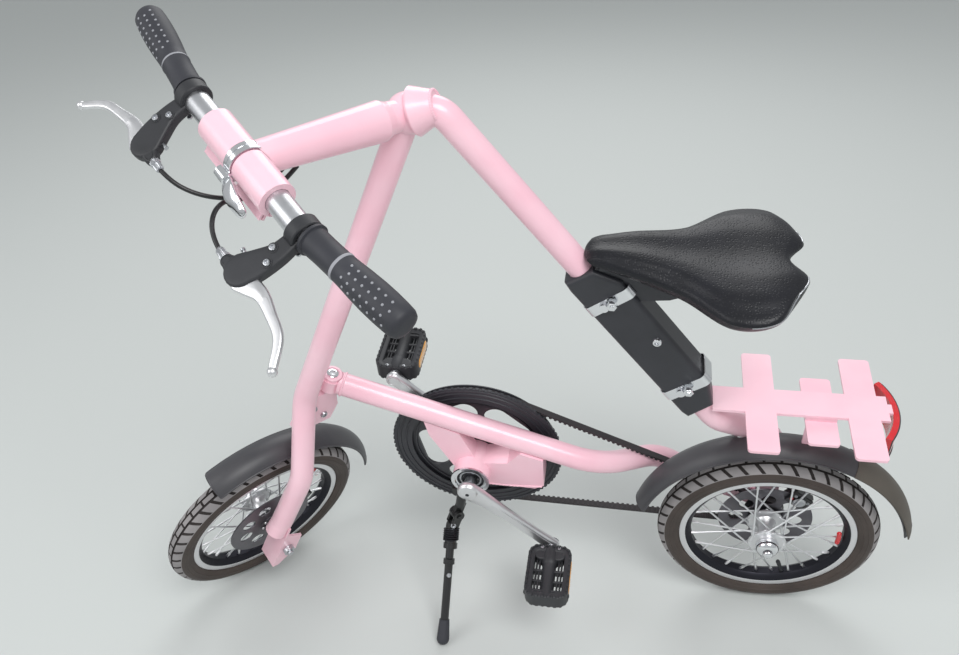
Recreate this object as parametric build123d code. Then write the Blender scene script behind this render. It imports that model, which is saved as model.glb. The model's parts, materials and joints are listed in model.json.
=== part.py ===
"""Folding bicycle with one-sided legs, belt drive and small wheels, parked on its side stand.

Every piece is drawn in the bicycle's own frame: X forward, Y to the rider's left, Z up, the rear
wheel's centre above the origin, the bicycle upright and its steering straight. At the end the
steered pieces are turned to their steering stop and the whole bicycle leans over until both tyres
and the foot of the stand touch the floor. Sizes are in millimetres and angles in degrees.
"""
from build123d import *
import os
from math import acos, atan2, cos, hypot, pi, radians, sin, sqrt, tan

# Small clearances: a still joint, a running joint, and a moving piece beside its neighbour
seat_gap = 0.3
axle_clearance = 0.3
side_clearance = 5.0

# Wheels and tyres
wheel_radius = 163.0
wheel_base = 821.0
tyre_radius = 20.0
tyre_height = 33.0
bead_depth = 6.5
rim_half_width = 14.0
rim_depth = 18.0
rim_wall = 2.0
rim_well = 8.0
rim_bed_half = 6.0
rim_shoulder = 7.0
rim_outer_radius = wheel_radius - tyre_height

# Hubs and spokes
spoke_radius = 1.2
spokes_per_flange = 14
spoke_sweep = 62.0
spoke_inset = 3.0
hub_radius = 12.0
hub_overhang = 4.0
flange_radius = 24.0
flange_thickness = 3.0
left_flange_y = 25.0
right_flange_y = -14.0
cap_radius = 20.0
cap_step = 5.0
rear_cap_end = 45.0
front_cap_end = 43.0
axle_radius = 5.0
nut_radius = 9.0
nut_length = 9.0
thread_length = 4.0

# Brakes
rotor_radius = 70.0
rotor_thickness = 2.0
rotor_y = -21.0
rotor_hole_circle = 44.0
rotor_hole_radius = 11.0
rotor_holes = 8
rotor_boss_radius = 18.0
caliper_gap = 1.6
caliper_size = (24.0, 34.0)
caliper_shells = (4.0, 8.0)
caliper_arm_radius = 4.5
rear_caliper_turn = 128.0
front_caliper_turn = 150.0
rear_caliper_arm = (-2.0, 84.0)
front_caliper_arm = (-33.0, 93.0)

# Tubes of the frame
tube_radius = 17.0
stem_end_radius = 17.5
stem_root_radius = 23.0
stem_root_along = (26.0, 36.0)
ball_radius = 24.0
ball_clearance = 0.4
cup_wall = 4.0
cup_rim_offset = 8.5
cup_tilt = 53.0
collar_length = 26.0

# Main points of the frame, as (x, z) in the middle plane
top_joint = (478.0, 863.0)
lower_joint = (648.0, 427.0)
main_tube_top = (443.0, 872.7)
main_tube_bend = (100.0, 405.0)
bottom_tube_bend = (255.0, 283.0)
bracket_centre = (447.0, 268.0)
stem_end = (668.0, 911.0)

# Drive, from the crank's plane to the belt's
belt_y = -34.0
belt_width = 10.0
belt_thickness = 3.0
tooth_height = 2.4
tooth_gap = 1.2
ring_pitch_radius = 121.0
cog_pitch_radius = 25.5
ring_teeth = 95
guard_radius = 132.0
guard_sheet = 2.5
cog_flange = 1.5
ring_windows = 5
window_circle = 72.0
window_size = (84.0, 38.0)
boss_radius = 30.0
shell_radius = 28.0
shell_wall = 7.0
shell_left_y = 36.0
shell_right_y = -20.0
spindle_radius = 8.5
crank_length = 171.0
crank_angle = 43.6
crank_thickness = 12.0
crank_gap = 14.0
right_crank_offset = 26.0
crank_boss_radius = 17.0
crank_root_radius = 12.5
crank_tip_radius = 11.5
crank_chamfer = 1.5

# Pedals
pedal_length = 92.0
pedal_width = 66.0
pedal_thickness = 25.0
pedal_gap = 4.0
pedal_pin_radius = 6.0
pedal_barrel_radius = 13.0
pedal_rail = 8.0
pedal_ribs = 9
reflector_size = (3.0, 46.0, 12.0)

# Legs beside the wheels
leg_offset_rear = belt_y - belt_width / 2 - side_clearance - tube_radius
leg_offset_front = 58.0
leg_rear_bend = (4.0, 149.0)
leg_rear_end = (1.0, 34.0)
leg_front_knee = (-69.0, 157.0)
leg_front_low = (-15.0, 63.0)
leg_front_end = (1.0, 43.0)
front_tube_bend = (694.0, 421.0)
bottom_side_point = (170.0, 86.0)
bottom_rear_point = (82.0, 28.0)
main_tube_bends = [30.0, 70.0, 60.0]
bottom_tube_bends = [150.0, 90.0]
front_tube_bends = [70.0, 80.0, 16.0]

# Hinge of the bottom tube on the rear axle
hinge_plate = 11.0
hinge_radius = 20.0
pivot_gap = 1.0
eye_radius = 19.0
eye_reach = (88.0, 30.0, 15.0)
lift_range = 28.0

# Lower joint between the bottom tube's ring and the fork's ball stud
ring_bore_radius = 9.5
ring_outer_radius = 17.0
ring_height = 22.0
ball_stud_radius = 8.5
stud_radius = 6.0
stud_length = 48.0
stud_collar_radius = 8.0
lug_drop = 17.0
lug_half = 7.0
lug_outline = [(58.0, -29.0), (78.0, -63.0), (52.0, -80.0), (20.0, -89.0), (2.0, -61.0)]

# Housing of the cranks: gusset in front and box behind, as offsets from its centre
gusset_half = 14.0
box_half = 19.0
gusset_high = (66.0, 15.0)
gusset_low = [(61.0, 70.0), (29.0, 4.0), (15.0, -6.0), (-7.0, 22.0)]
box_front = [(-7.0, -6.0), (-7.0, 20.0), (-55.0, 24.0)]
box_high = (-75.0, -109.0)
box_low = [(-109.0, -22.0), (-95.0, -30.0), (-17.0, -26.0)]
tube_overlap = 10.0

# Saddle and its carrier, measured along and across the main tube or as (x, z)
upper_band_along = 318.0
lower_band_along = 492.0
band_width = 16.0
band_sheet = 1.5
band_height = 65.0
band_shift = -8.0
band_bolt_radius = 6.0
moulding_half = 22.0
moulding_edge = 7.0
sleeve_outline = [(265.0, 22.0), (268.0, -18.0), (300.0, -38.0), (500.0, -38.0), (540.0, -20.0), (543.0, 20.0),
                  (530.0, 23.0), (280.0, 24.0)]
web_outline = [(262.0, 668.0), (205.0, 668.0), (150.0, 650.0), (142.0, 638.0), (176.0, 624.0)]
web_half = 15.0
base_outline = [(262.0, 668.4), (262.0, 674.0), (120.0, 674.0), (96.0, 668.0), (96.0, 662.0), (150.0, 662.0),
                (205.0, 668.4)]
base_half = 20.0
# Columns: x, half width, height of the edge, height of the crown, depth of the shell
saddle_stations = [(22.0, 62.0, 684.0, 690.0, 14.0), (60.0, 104.0, 680.0, 693.0, 24.0),
                   (110.0, 108.0, 676.0, 690.0, 26.0), (165.0, 62.0, 676.0, 690.0, 22.0),
                   (225.0, 40.0, 684.0, 697.0, 17.0), (275.0, 24.0, 686.0, 695.0, 9.0)]
saddle_shell_share = 0.72
notch_radius = 30.0
notch_x = 6.0

# Rack above the rear wheel; heights are counted from the axle
rack_height = 280.0
rack_sheet = 4.0
rack_spine = (-116.0, 108.0, 22.0)
rack_bars = [(26.0, 66.0, 90.0, 0.0), (-104.0, -64.0, 90.0, 0.0), (-52.0, -12.0, 60.0, -12.0)]
rack_corner = 5.0
rear_reflector_height = 42.0
rear_reflector_arc = (90.0, 82.0, 36.0)
rear_reflector_x = -40.0

# Mudguards
guard_half_width = 24.0
guard_wall = 2.0
guard_crown = 12.0
rear_guard_gap = 42.0
front_guard_gap = 32.0
rear_guard_angles = (168.0, 14.0)
front_guard_angles = (186.0, 76.0)
stay_radius = 3.0

# Bracket at the fork's foot, as offsets from the front axle
foot_plate_high = (-15.0, 59.0)
foot_plate_low = (35.0, -35.0)
foot_plate_depth = 34.0
foot_plate_wall = 4.0
foot_plate_low_y = 18.0
foot_plate_high_y = 19.0

# Side stand
stand_pivot = (475.0, 38.0, 183.0)
stand_foot = (486.0, 172.0)
stand_folded = (-1.0, -0.16, 0.06)
stand_cone = 45.0
stand_leg_radius = 6.5
stand_pin_radius = 3.5
stand_knee = 24.0
stand_cheek = 9.0
knuckle_radius = 9.5
knuckle_length = 34.0
foot_radius = 10.0
foot_length = 30.0

# Steering and stance
steer_angle = 48.5
lean_angle = 10.0

# Handlebar
bar_radius = 13.5
bar_straight = 104.0
bar_half_width = 249.0
bar_sweep = 7.0
bar_bends = [60.0, 60.0]
sleeve_radius = 20.0
sleeve_half_length = 62.0
sleeve_wall_cut = 2.5
clamp_band_width = 13.0
grip_start = 121.0
# Columns: distance along the grip, radius
grip_profile = [(0.0, 17.5), (4.0, 18.0), (10.0, 16.6), (40.0, 16.4), (70.0, 17.6), (100.0, 18.0)]
grip_end_radius = 17.4
grip_cap = [(6.0, 15.0), (8.0, 10.0)]

# Brake levers, in the plane of the lever: reach ahead of the bar and distance to the side
lever_tilt = -17.5
holder_thickness = 13.0
holder_ring_radius = 18.5
holder_ring_width = 14.0
holder_y = 111.0
# Columns: reach, distance to the side, radius
holder_arm = [(14.0, 111.0, 7.0), (36.0, 112.0, 9.0), (58.0, 107.0, 12.0), (74.0, 100.0, 13.0)]
holder_socket = [(74.0, 98.0, 11.0), (73.0, 84.0, 7.0)]
holder_slot = [(78.0, 110.0, 9.0), (66.0, 132.0, 10.0)]
lever_thickness = 6.5
lever_line = [(78.0, 110.0, 6.5), (68.0, 124.0, 7.5), (65.0, 136.0, 6.5), (72.0, 158.0, 5.5), (80.0, 182.0, 5.0),
              (99.0, 204.0, 4.0)]
lever_tip = (101.0, 206.0, 5.0)
adjuster_place = (73.0, 76.6)
adjuster_ring = (5.5, 5.0)
adjuster_barrel = (4.2, 9.0)

# Brake cables from the adjusters to the underside of the stem
cable_radius = 2.5
cable_end_x = 619.0
cable_end_side = 6.0
cable_end_drop = 20.8
left_route = [(736, 46, 893), (724, 28, 899), (706, 15, 893), (688, 9, 876), (666, 7, 864), (645, 7, 862)]
right_route = [(735, -46, 884), (723, -30, 874), (706, -19, 864), (687, -13, 856), (666, -10, 853), (646, -9, 857)]


def vec(x, y, z):
    return Vector(x, y, z)


def middle(pair):
    """A point of the middle plane from its (x, z)."""
    return vec(pair[0], 0, pair[1])


def spin(vector, direction, angle):
    """A vector turned about a unit direction by the right-hand rule."""
    turn = radians(angle)
    along = direction * (vector.dot(direction) * (1 - cos(turn)))
    return vector * cos(turn) + direction.cross(vector) * sin(turn) + along


def rod(start, end, radius, end_radius=None):
    """A round bar, or a cone, from one point to another."""
    start, end = Vector(start), Vector(end)
    length = (end - start).length
    place = Plane(start, z_dir=end - start)
    if end_radius is None:
        return place * Cylinder(radius, length, align=(Align.CENTER, Align.CENTER, Align.MIN))
    return place * Cone(radius, end_radius, length, align=(Align.CENTER, Align.CENTER, Align.MIN))


def bent_tube(points, radii, radius):
    """A round tube along straight runs that are joined by tangent arcs."""
    path = FilletPolyline(*points, radius=radii)
    return sweep(Plane(path @ 0, z_dir=path % 0) * Circle(radius), path=path)


def side_plate(outline, y_low, y_high):
    """A flat plate whose outline lies in the bicycle's side view, as (x, z) points."""
    face = make_face(Polyline(*[(x, y_low, z) for x, z in outline], close=True))
    return extrude(face, amount=y_high - y_low, dir=(0, 1, 0))


def turned(section, arc=360.0):
    """A solid of revolution about Y from (radius, y) points, starting at +X and going down."""
    return revolve(make_face(Polyline(*section, close=True)), axis=Axis.Y, revolution_arc=arc)


def disc_between(radius, y_low, y_high, hole=0.0):
    """A round plate or ring about Y."""
    section = [(hole, y_low), (radius, y_low), (radius, y_high), (hole, y_high)]
    return turned(section)


def at(point, shape):
    return Pos(*point) * shape


def hull_plate(circles, y_low, y_high):
    """A plate whose outline is the tight band round some circles, each (x, z, radius)."""
    edges = []
    for x, z, radius in circles:
        edges += (Pos(x, z) * Circle(radius)).edges()
    side_view = Plane((0, y_low, 0), x_dir=(1, 0, 0), z_dir=(0, -1, 0))
    return extrude(side_view * make_hull(edges), amount=y_high - y_low, dir=(0, 1, 0))


def on_side(side, body):
    """A piece drawn for the rider's left, mirrored for the right when side is -1."""
    return mirror(body, about=Plane.XZ) if side < 0 else body


# Points and directions worked out from the main points
rear_axle = vec(0, 0, wheel_radius)
front_axle = vec(wheel_base, 0, wheel_radius)
top = middle(top_joint)
lower = middle(lower_joint)
bracket = middle(bracket_centre)
clamp = middle(stem_end)
steer_up = (top - lower).normalized()
steer_forward = vec(steer_up.Z, 0, -steer_up.X)
cup_axis = steer_up * cos(radians(cup_tilt)) - steer_forward * sin(radians(cup_tilt))
main_down = (middle(main_tube_bend) - middle(main_tube_top)).normalized()
main_front = vec(-main_down.Z, 0, main_down.X)
bottom_back = (middle(bottom_tube_bend) - lower).normalized()
stem_direction = (clamp - top).normalized()
plate_inner_y = leg_offset_rear + tube_radius
eye_high = plate_inner_y - hinge_plate - pivot_gap
eye_low = eye_high - hinge_plate
rear_crown_radius = wheel_radius + rear_guard_gap
front_crown_radius = wheel_radius + front_guard_gap
left_arm_low = shell_left_y + crank_gap
left_arm_high = left_arm_low + crank_thickness
right_arm_high = shell_right_y - right_crank_offset
right_arm_low = right_arm_high - crank_thickness

rear, bottom, front = "rear frame", "bottom tube", "front fork"
pieces = {}


def add(node, group, make, *values):
    """Builds one piece and notes it with the group that carries it."""
    pieces[node] = (group, make(*values))


# Wheels: a tyre, a rim, a hub with its spokes and a brake rotor for each end
def tyre():
    """Round tyre with a bead that sits between the rim's walls."""
    seat = rim_outer_radius + seat_gap
    round_part = Plane.XY * Pos(wheel_radius - tyre_radius, 0) * Circle(tyre_radius)
    bead_cut = Pos(seat - tyre_radius, 0) * Rectangle(2 * tyre_radius, 3 * tyre_radius)
    bead_half = rim_half_width - rim_wall - seat_gap
    bead = Pos(seat - bead_depth / 2 + 0.5, 0) * Rectangle(bead_depth + 1, 2 * bead_half)
    return revolve((round_part - bead_cut) + bead, axis=Axis.Y)


def rim():
    """Rim with a well for the tyre's bead and walls that slope to the spoke bed."""
    outer, half, wall = rim_outer_radius, rim_half_width, rim_wall
    well, bed = outer - rim_well, outer - rim_depth
    section = [(outer, half), (outer, half - wall), (well, half - wall), (well, -half + wall),
               (outer, -half + wall), (outer, -half), (bed + rim_shoulder, -half + 1), (bed, -rim_bed_half),
               (bed, rim_bed_half), (bed + rim_shoulder, half - 1)]
    return turned(section)


def spoke_set():
    """Crossed spokes, heads alternately inside and outside each flange."""
    spokes = []
    hook_radius, rim_radius = flange_radius - spoke_inset, rim_outer_radius - rim_depth - 0.7
    for flange_y, phase in ((left_flange_y, 0.0), (right_flange_y, 0.5)):
        for i in range(spokes_per_flange):
            side = 1 if i % 2 else -1
            hub_turn = radians(360.0 * (i + phase) / spokes_per_flange)
            rim_turn = hub_turn + side * radians(spoke_sweep)
            y_hub = flange_y + side * (flange_thickness / 2 + spoke_radius * 0.6)
            start = vec(hook_radius * cos(hub_turn), y_hub, hook_radius * sin(hub_turn))
            end = vec(rim_radius * cos(rim_turn), side * 1.5, rim_radius * sin(rim_turn))
            spokes.append(rod(start, end, spoke_radius))
    return spokes


def hub(cap_end):
    """Hub shell with two flanges, the left end cap and the spokes that it carries."""
    body = disc_between(hub_radius, right_flange_y - hub_overhang, left_flange_y + hub_overhang)
    for y in (left_flange_y, right_flange_y):
        body += disc_between(flange_radius, y - flange_thickness / 2, y + flange_thickness / 2)
    cap_start = left_flange_y + hub_overhang
    cap_mid = cap_start + 0.55 * (cap_end - cap_start)
    body += turned([(0, cap_start), (cap_radius - cap_step, cap_start), (cap_radius, cap_mid),
                    (cap_radius, cap_end - 1.5), (cap_radius - 3, cap_end), (cap_radius - cap_step, cap_end - 4),
                    (0, cap_end - 4)])
    body = body.fuse(*spoke_set())
    return body - disc_between(axle_radius + axle_clearance, -cap_end - 20, cap_end + 20)


def rotor():
    """Brake rotor: an outer band and a boss, with a ring of round holes between them."""
    half = rotor_thickness / 2
    disc = disc_between(rotor_radius, rotor_y - half, rotor_y + half, hub_radius + seat_gap)
    hole = rod((rotor_hole_circle, rotor_y - 5, 0), (rotor_hole_circle, rotor_y + 5, 0), rotor_hole_radius)
    for i in range(rotor_holes):
        disc -= Rot(Y=360.0 * i / rotor_holes) * hole
    boss_high = right_flange_y - flange_thickness / 2 - seat_gap
    return disc + disc_between(rotor_boss_radius, rotor_y - half - 1.5, boss_high, hub_radius + seat_gap)


def caliper(turn, arm_end):
    """Brake caliper: two housings that straddle the rotor, joined over its rim, with an arm to the leg."""
    depth, length = caliper_size
    thin, thick = caliper_shells
    inner, outer, middle_radius = rotor_y + caliper_gap, rotor_y - caliper_gap, rotor_radius - 2
    body = Pos(middle_radius, inner + thin / 2, 0) * Box(depth, thin, length)
    body += Pos(middle_radius, outer - thick / 2, 0) * Box(depth, thick, length + 4)
    body += Pos(rotor_radius + 7, rotor_y, 0) * Box(8, 2 * caliper_gap + 4, length - 4)
    body += rod((middle_radius, inner + thin - 1, 0), (middle_radius, inner + thin + 2, 0), 9)
    body = Rot(Y=-turn) * body
    start = vec(rotor_radius * cos(radians(turn)), outer - thick / 2 - 1, rotor_radius * sin(radians(turn)))
    return body + rod(start, arm_end, caliper_arm_radius)


# Rear frame
def main_tube_path():
    """Corners of the main tube's middle line, from inside the top joint to above the rear axle."""
    low_bend = (leg_rear_bend[0], leg_offset_rear, wheel_radius + leg_rear_bend[1])
    low_end = (leg_rear_end[0], leg_offset_rear, wheel_radius + leg_rear_end[1])
    return [top + cup_axis * 12, middle(main_tube_top), middle(main_tube_bend), low_bend, low_end]


def raised_eye():
    """The room that the bottom tube's eye sweeps beside the main tube when it is lifted."""
    turn = radians(lift_range + 2)
    reach, height, radius = eye_reach
    tip = (reach * cos(turn) - height * sin(turn), wheel_radius + reach * sin(turn) + height * cos(turn))
    arm = [(0, wheel_radius, eye_radius + pivot_gap), (tip[0], tip[1], radius + pivot_gap)]
    return hull_plate(arm, eye_low - pivot_gap, eye_high + pivot_gap)


def main_tube():
    """Main tube from the cup of the top joint down past the right of the rear wheel to its axle."""
    tube = bent_tube(main_tube_path(), main_tube_bends, tube_radius) - raised_eye()
    cup_radius = ball_radius + ball_clearance + cup_wall
    shell = Plane(top) * Sphere(cup_radius)
    open_side = Plane(top + cup_axis * cup_rim_offset, z_dir=-cup_axis)
    cutter = open_side * Box(120, 120, 80, align=(Align.CENTER, Align.CENTER, Align.MIN))
    collar_start = top + cup_axis * (cup_rim_offset + 2)
    collar = rod(collar_start, collar_start + cup_axis * collar_length, cup_radius, tube_radius + 1)
    body = tube + (shell + collar - cutter)
    body -= Plane(top) * Sphere(ball_radius + ball_clearance)
    web_circles = [(0, wheel_radius, hinge_radius), (leg_rear_end[0], wheel_radius + 52, tube_radius)]
    body += hull_plate(web_circles, plate_inner_y - hinge_plate, plate_inner_y)
    return body - rod((0, 0, wheel_radius), (0, -120, wheel_radius), axle_radius + seat_gap)


def on_main_tube(along, across):
    """A point of the side view from its distance down the main tube and in front of it."""
    point = middle(main_tube_top) + main_down * along + main_front * across
    return (point.X, point.Z)


def saddle_moulding():
    """Moulded sleeve round the main tube with the web that carries the saddle."""
    sleeve = [on_main_tube(*pair) for pair in sleeve_outline]
    web = [on_main_tube(268, -10)] + web_outline + [on_main_tube(330, -20)]
    body = side_plate(sleeve, -moulding_half, moulding_half)
    outer_edges = body.edges().filter_by(Axis.Y, reverse=True)
    body = fillet(outer_edges.filter_by(lambda e: abs(e.center().Y) > moulding_half - 1), moulding_edge)
    body += side_plate(web, -web_half, web_half)
    bore = rod(middle(main_tube_top), middle(main_tube_bend) + main_down * 40, tube_radius + seat_gap)
    return body - bore - band_ring(upper_band_along, band_width + 0.6, band_sheet + seat_gap)


def band_ring(along, width, thick):
    """A rounded rectangular band round the moulding at a distance down the main tube."""
    place = Plane(middle(main_tube_top) + main_down * along, x_dir=main_front, z_dir=main_down)
    outer = Pos(band_shift, 0) * Rectangle(band_height + 2 * thick, 2 * (moulding_half + thick))
    inner = Pos(band_shift, 0) * Rectangle(band_height, 2 * moulding_half)
    outer = fillet(outer.vertices(), moulding_edge + 1 + thick)
    inner = fillet(inner.vertices(), moulding_edge - 0.5)
    return place * extrude(outer - inner, amount=width / 2, both=True)


def band_clamp(along):
    """Metal band round the moulding, with its bolt lug on the left."""
    centre = middle(main_tube_top) + main_down * along
    face = moulding_half + band_sheet
    screw = rod(centre + vec(0, face - 0.5, 0), centre + vec(0, face + 5, 0), band_bolt_radius)
    return band_ring(along, band_width, band_sheet) + screw


def saddle():
    """Padded saddle, broad at the tail and narrow at the nose, lofted through its stations."""
    sections = []
    for x, half, edge, crown, depth in saddle_stations:
        inner, low = half * saddle_shell_share, edge - depth
        outline = [ThreePointArc((x, -half, edge), (x, 0, crown), (x, half, edge)),
                   Line((x, half, edge), (x, inner, low)), Line((x, inner, low), (x, -inner, low)),
                   Line((x, -inner, low), (x, -half, edge))]
        sections.append(make_face(Wire(outline)))
    body = loft(sections)
    base_top = max(z for _, z in base_outline) + 0.5
    notch = Pos(notch_x, 0, base_top) * Cylinder(notch_radius, 100)
    slot_half = base_half + 0.5
    slot = Pos(0, 0, base_top - 25) * Box(2 * 263, 2 * slot_half, 50)
    slot &= Pos(263, 0, base_top - 25) * Box(2 * 176, 2 * slot_half, 50)
    nose_slot = Pos(255, 0, base_top - 25) * Box(80, 48, 50)
    return body - notch - slot - nose_slot


def saddle_base():
    """Hard shell and clamp under the saddle, seated on the moulding's web."""
    return side_plate(base_outline, -base_half, base_half)


def rack():
    """Flat carrier: one spine along the bicycle and three cross bars, on a post from the mudguard."""
    height = wheel_radius + rack_height
    spine_low, spine_high, spine_half = rack_spine
    body = Pos((spine_low + spine_high) / 2, 0, height) * Box(spine_high - spine_low, 2 * spine_half, rack_sheet)
    body += Pos(spine_low, 0, height) * Box(10.4, 16, rack_sheet)
    for x_low, x_high, half, rise in rack_bars:
        flat = Pos((x_low + x_high) / 2, 0, height + rise) * Box(x_high - x_low, 2 * half, rack_sheet)
        body += fillet(flat.edges().filter_by(Axis.Z), rack_corner)
    low_bar = rack_bars[-1]
    post_x = (low_bar[0] + low_bar[1]) / 2
    body += Pos(post_x, 0, height + low_bar[3] / 2 - 1) * Box(low_bar[1] - low_bar[0], 40, -low_bar[3])
    post = Pos(post_x, 0, height - 45) * Box(24, rack_sheet, 80)
    body += post - at(rear_axle, disc_between(rear_crown_radius + seat_gap, -40, 40))
    return body - rod(middle(main_tube_top), middle(main_tube_bend) + main_down * 40, tube_radius + seat_gap)


def reflector():
    """Curved rear reflector at the rack's tail."""
    low = wheel_radius + rack_height - rear_reflector_height - 1
    band = Pos(rear_reflector_x, 0, 0) * extrude(arc_band(*rear_reflector_arc), amount=rear_reflector_height)
    return Pos(0, 0, low) * band


def arc_band(outer, inner, half_angle):
    """A flat arc band that bulges towards -X."""
    a = radians(half_angle)
    points = [(-outer * cos(a), outer * sin(a)), (-outer, 0), (-outer * cos(a), -outer * sin(a))]
    back = [(-inner * cos(a), -inner * sin(a)), (-inner, 0), (-inner * cos(a), inner * sin(a))]
    wire = Wire([ThreePointArc(*points), Line(points[2], back[0]), ThreePointArc(*back), Line(back[2], points[0])])
    return make_face(wire)


# Mudguards
def mudguard(crown_radius, angle_high, angle_low):
    """Arched band over a tyre, from one angle to the other, counted up from forward."""
    half, wall = guard_half_width, guard_wall
    edge = crown_radius - guard_crown
    outline = Wire([ThreePointArc((edge, -half), (crown_radius, 0), (edge, half)),
                    Line((edge, half), (edge - wall, half)),
                    ThreePointArc((edge - wall, half), (crown_radius - wall, 0), (edge - wall, -half)),
                    Line((edge - wall, -half), (edge, -half))])
    band = revolve(make_face(outline), axis=Axis.Y, revolution_arc=angle_high - angle_low)
    return Rot(Y=-angle_high) * band


def rear_mudguard():
    guard = at(rear_axle, mudguard(rear_crown_radius, *rear_guard_angles))
    edge = wheel_radius + rear_crown_radius - guard_crown - 1
    stay = rod((8, -guard_half_width + 1, edge), (6, leg_offset_rear + 14, edge - 52), stay_radius)
    tube = bent_tube(main_tube_path(), main_tube_bends, tube_radius + 1.0)
    return guard + stay - tube


def rear_axle_piece():
    """Rear axle with the nut that holds the bottom tube's eye."""
    left_end = rear_cap_end + 5
    right_end = eye_low - nut_length - thread_length
    axle = rod((0, left_end, wheel_radius), (0, right_end, wheel_radius), axle_radius)
    nut_low = right_end + thread_length
    return axle + rod((0, nut_low, wheel_radius), (0, nut_low + nut_length - seat_gap, wheel_radius), nut_radius)


# Bottom tube with the crank housing
def bottom_tube():
    """Bottom tube: ring at the front, straight run, bend to the right, eye on the rear axle."""
    side_point = vec(bottom_side_point[0], leg_offset_rear, wheel_radius + bottom_side_point[1])
    rear_point = vec(bottom_rear_point[0], leg_offset_rear, wheel_radius + bottom_rear_point[1])
    points = [lower + bottom_back * 12, middle(bottom_tube_bend), side_point, rear_point]
    tube = bent_tube(points, bottom_tube_bends, tube_radius)
    place = Plane(lower, z_dir=steer_up)
    ring = place * Cylinder(ring_outer_radius, ring_height)
    inner_radius = ring_outer_radius - 1.5
    clear = place * (Cylinder(inner_radius, 80) - Cylinder(inner_radius, ring_height))
    body = tube + ring - clear - place * Cylinder(ring_bore_radius, 80)
    reach, height, radius = eye_reach
    body += hull_plate([(0, wheel_radius, eye_radius), (reach, wheel_radius + height, radius)], eye_low, eye_high)
    return body - rod((0, 0, wheel_radius), (0, -120, wheel_radius), axle_radius + axle_clearance)


def under_tube(x):
    """Height of the bottom tube's middle line at a place along the bicycle."""
    span = middle(bottom_tube_bend) - lower
    return lower.Z + (x - lower.X) * span.Z / span.X


def from_bracket(pairs):
    return [(bracket.X + x, bracket.Z + z) for x, z in pairs]


def crank_housing():
    """Crank housing: a cross cylinder held under the bottom tube by a front gusset and a rear box."""
    shell = at(bracket, disc_between(shell_radius, shell_right_y, shell_left_y))

    def at_tube(offset, drop):
        return (bracket.X + offset, under_tube(bracket.X + offset) - drop)

    gusset = [at_tube(gusset_high[0], tube_overlap)] + from_bracket(gusset_low)
    gusset += [at_tube(gusset_high[1], tube_overlap + 4)]
    box = from_bracket(box_front) + [at_tube(x, tube_overlap) for x in box_high] + from_bracket(box_low)
    body = shell + side_plate(gusset, -gusset_half, gusset_half) + side_plate(box, -box_half, box_half)
    body -= rod(lower, middle(bottom_tube_bend), tube_radius + seat_gap)
    return body - at(bracket, disc_between(shell_radius - shell_wall, shell_right_y - 1, shell_left_y + 1))


def left_bearing_ring():
    """Bearing ring pressed into the left end of the housing, with its dished silver face."""
    bore, press, face = spindle_radius + axle_clearance, shell_radius - shell_wall - seat_gap, shell_left_y
    ring = turned([(bore, face - 12), (press, face - 12), (press, face + seat_gap), (shell_radius + 1, face + seat_gap),
                   (shell_radius + 1, face + 3), (shell_radius - 4, face + 3), (shell_radius - 6, face - 4),
                   (bore, face - 4)])
    return at(bracket, ring)


def right_bearing_ring():
    press = shell_radius - shell_wall - seat_gap
    ring = disc_between(press, shell_right_y, shell_right_y + 10, spindle_radius + axle_clearance)
    return at(bracket, ring)


def belt():
    """Toothed belt: an outer band round both pulleys, with teeth on the inside of its free runs."""
    centre_distance = (bracket - rear_axle).length
    slope = atan2(bracket.Z - wheel_radius, bracket.X)
    spread = acos((ring_pitch_radius - cog_pitch_radius) / centre_distance)
    y_low, y_high = belt_y - belt_width / 2, belt_y + belt_width / 2

    def loop(offset):
        ring_r, cog_r = ring_pitch_radius + offset, cog_pitch_radius + offset
        return hull_plate([(bracket.X, bracket.Z, ring_r), (0, wheel_radius, cog_r)], y_low, y_high)

    band = loop(belt_thickness) - loop(0.0)
    pitch = 2 * pi * ring_pitch_radius / ring_teeth
    run = sqrt(centre_distance ** 2 - (ring_pitch_radius - cog_pitch_radius) ** 2)
    for side in (1, -1):
        turn = slope + side * (pi - spread)
        normal = vec(cos(turn), 0, sin(turn))
        along = vec(-normal.Z, 0, normal.X) * side
        base = vec(0, belt_y, wheel_radius) + normal * (cog_pitch_radius + 0.4)
        if (base + along * run - bracket).length > centre_distance:
            along = along * -1
        teeth = []
        for i in range(int((run - 2 * pitch) / pitch)):
            place = Plane(base + along * (pitch * (i + 1.2)), x_dir=along, z_dir=vec(0, 1, 0))
            inward = -1 if place.y_dir.dot(normal) > 0 else 1
            tooth = Pos(0, inward * tooth_height / 2, 0) * Box(pitch * 0.5, tooth_height + 0.8, belt_width)
            teeth.append(place * tooth)
        band = band.fuse(*teeth)
    return band


def stand_bracket():
    """Shoe under the housing with a tongue that carries the stand's pivot pin."""
    shoe_z = bracket.Z - shell_radius
    shoe = Pos(stand_root.X - 14, 22, shoe_z - 6) * Box(34, 26, 14)
    tongue = Plane(stand_root, x_dir=leg_flat * -1, z_dir=stand_axis)
    lug = tongue * Cylinder(stand_cheek, 7) + tongue * Pos(11, 0, 0) * Box(22, 15, 7)
    arm = rod(stand_root - leg_flat * 17, (stand_root.X - 12, 22, shoe_z - 5), 7.5, 9)
    arm -= tongue * Cylinder(stand_cheek + 3, 40)
    body = shoe + arm + lug - at(bracket, disc_between(shell_radius + seat_gap, -40, 60))
    return body + tongue * Cylinder(stand_pin_radius, 24)


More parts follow.
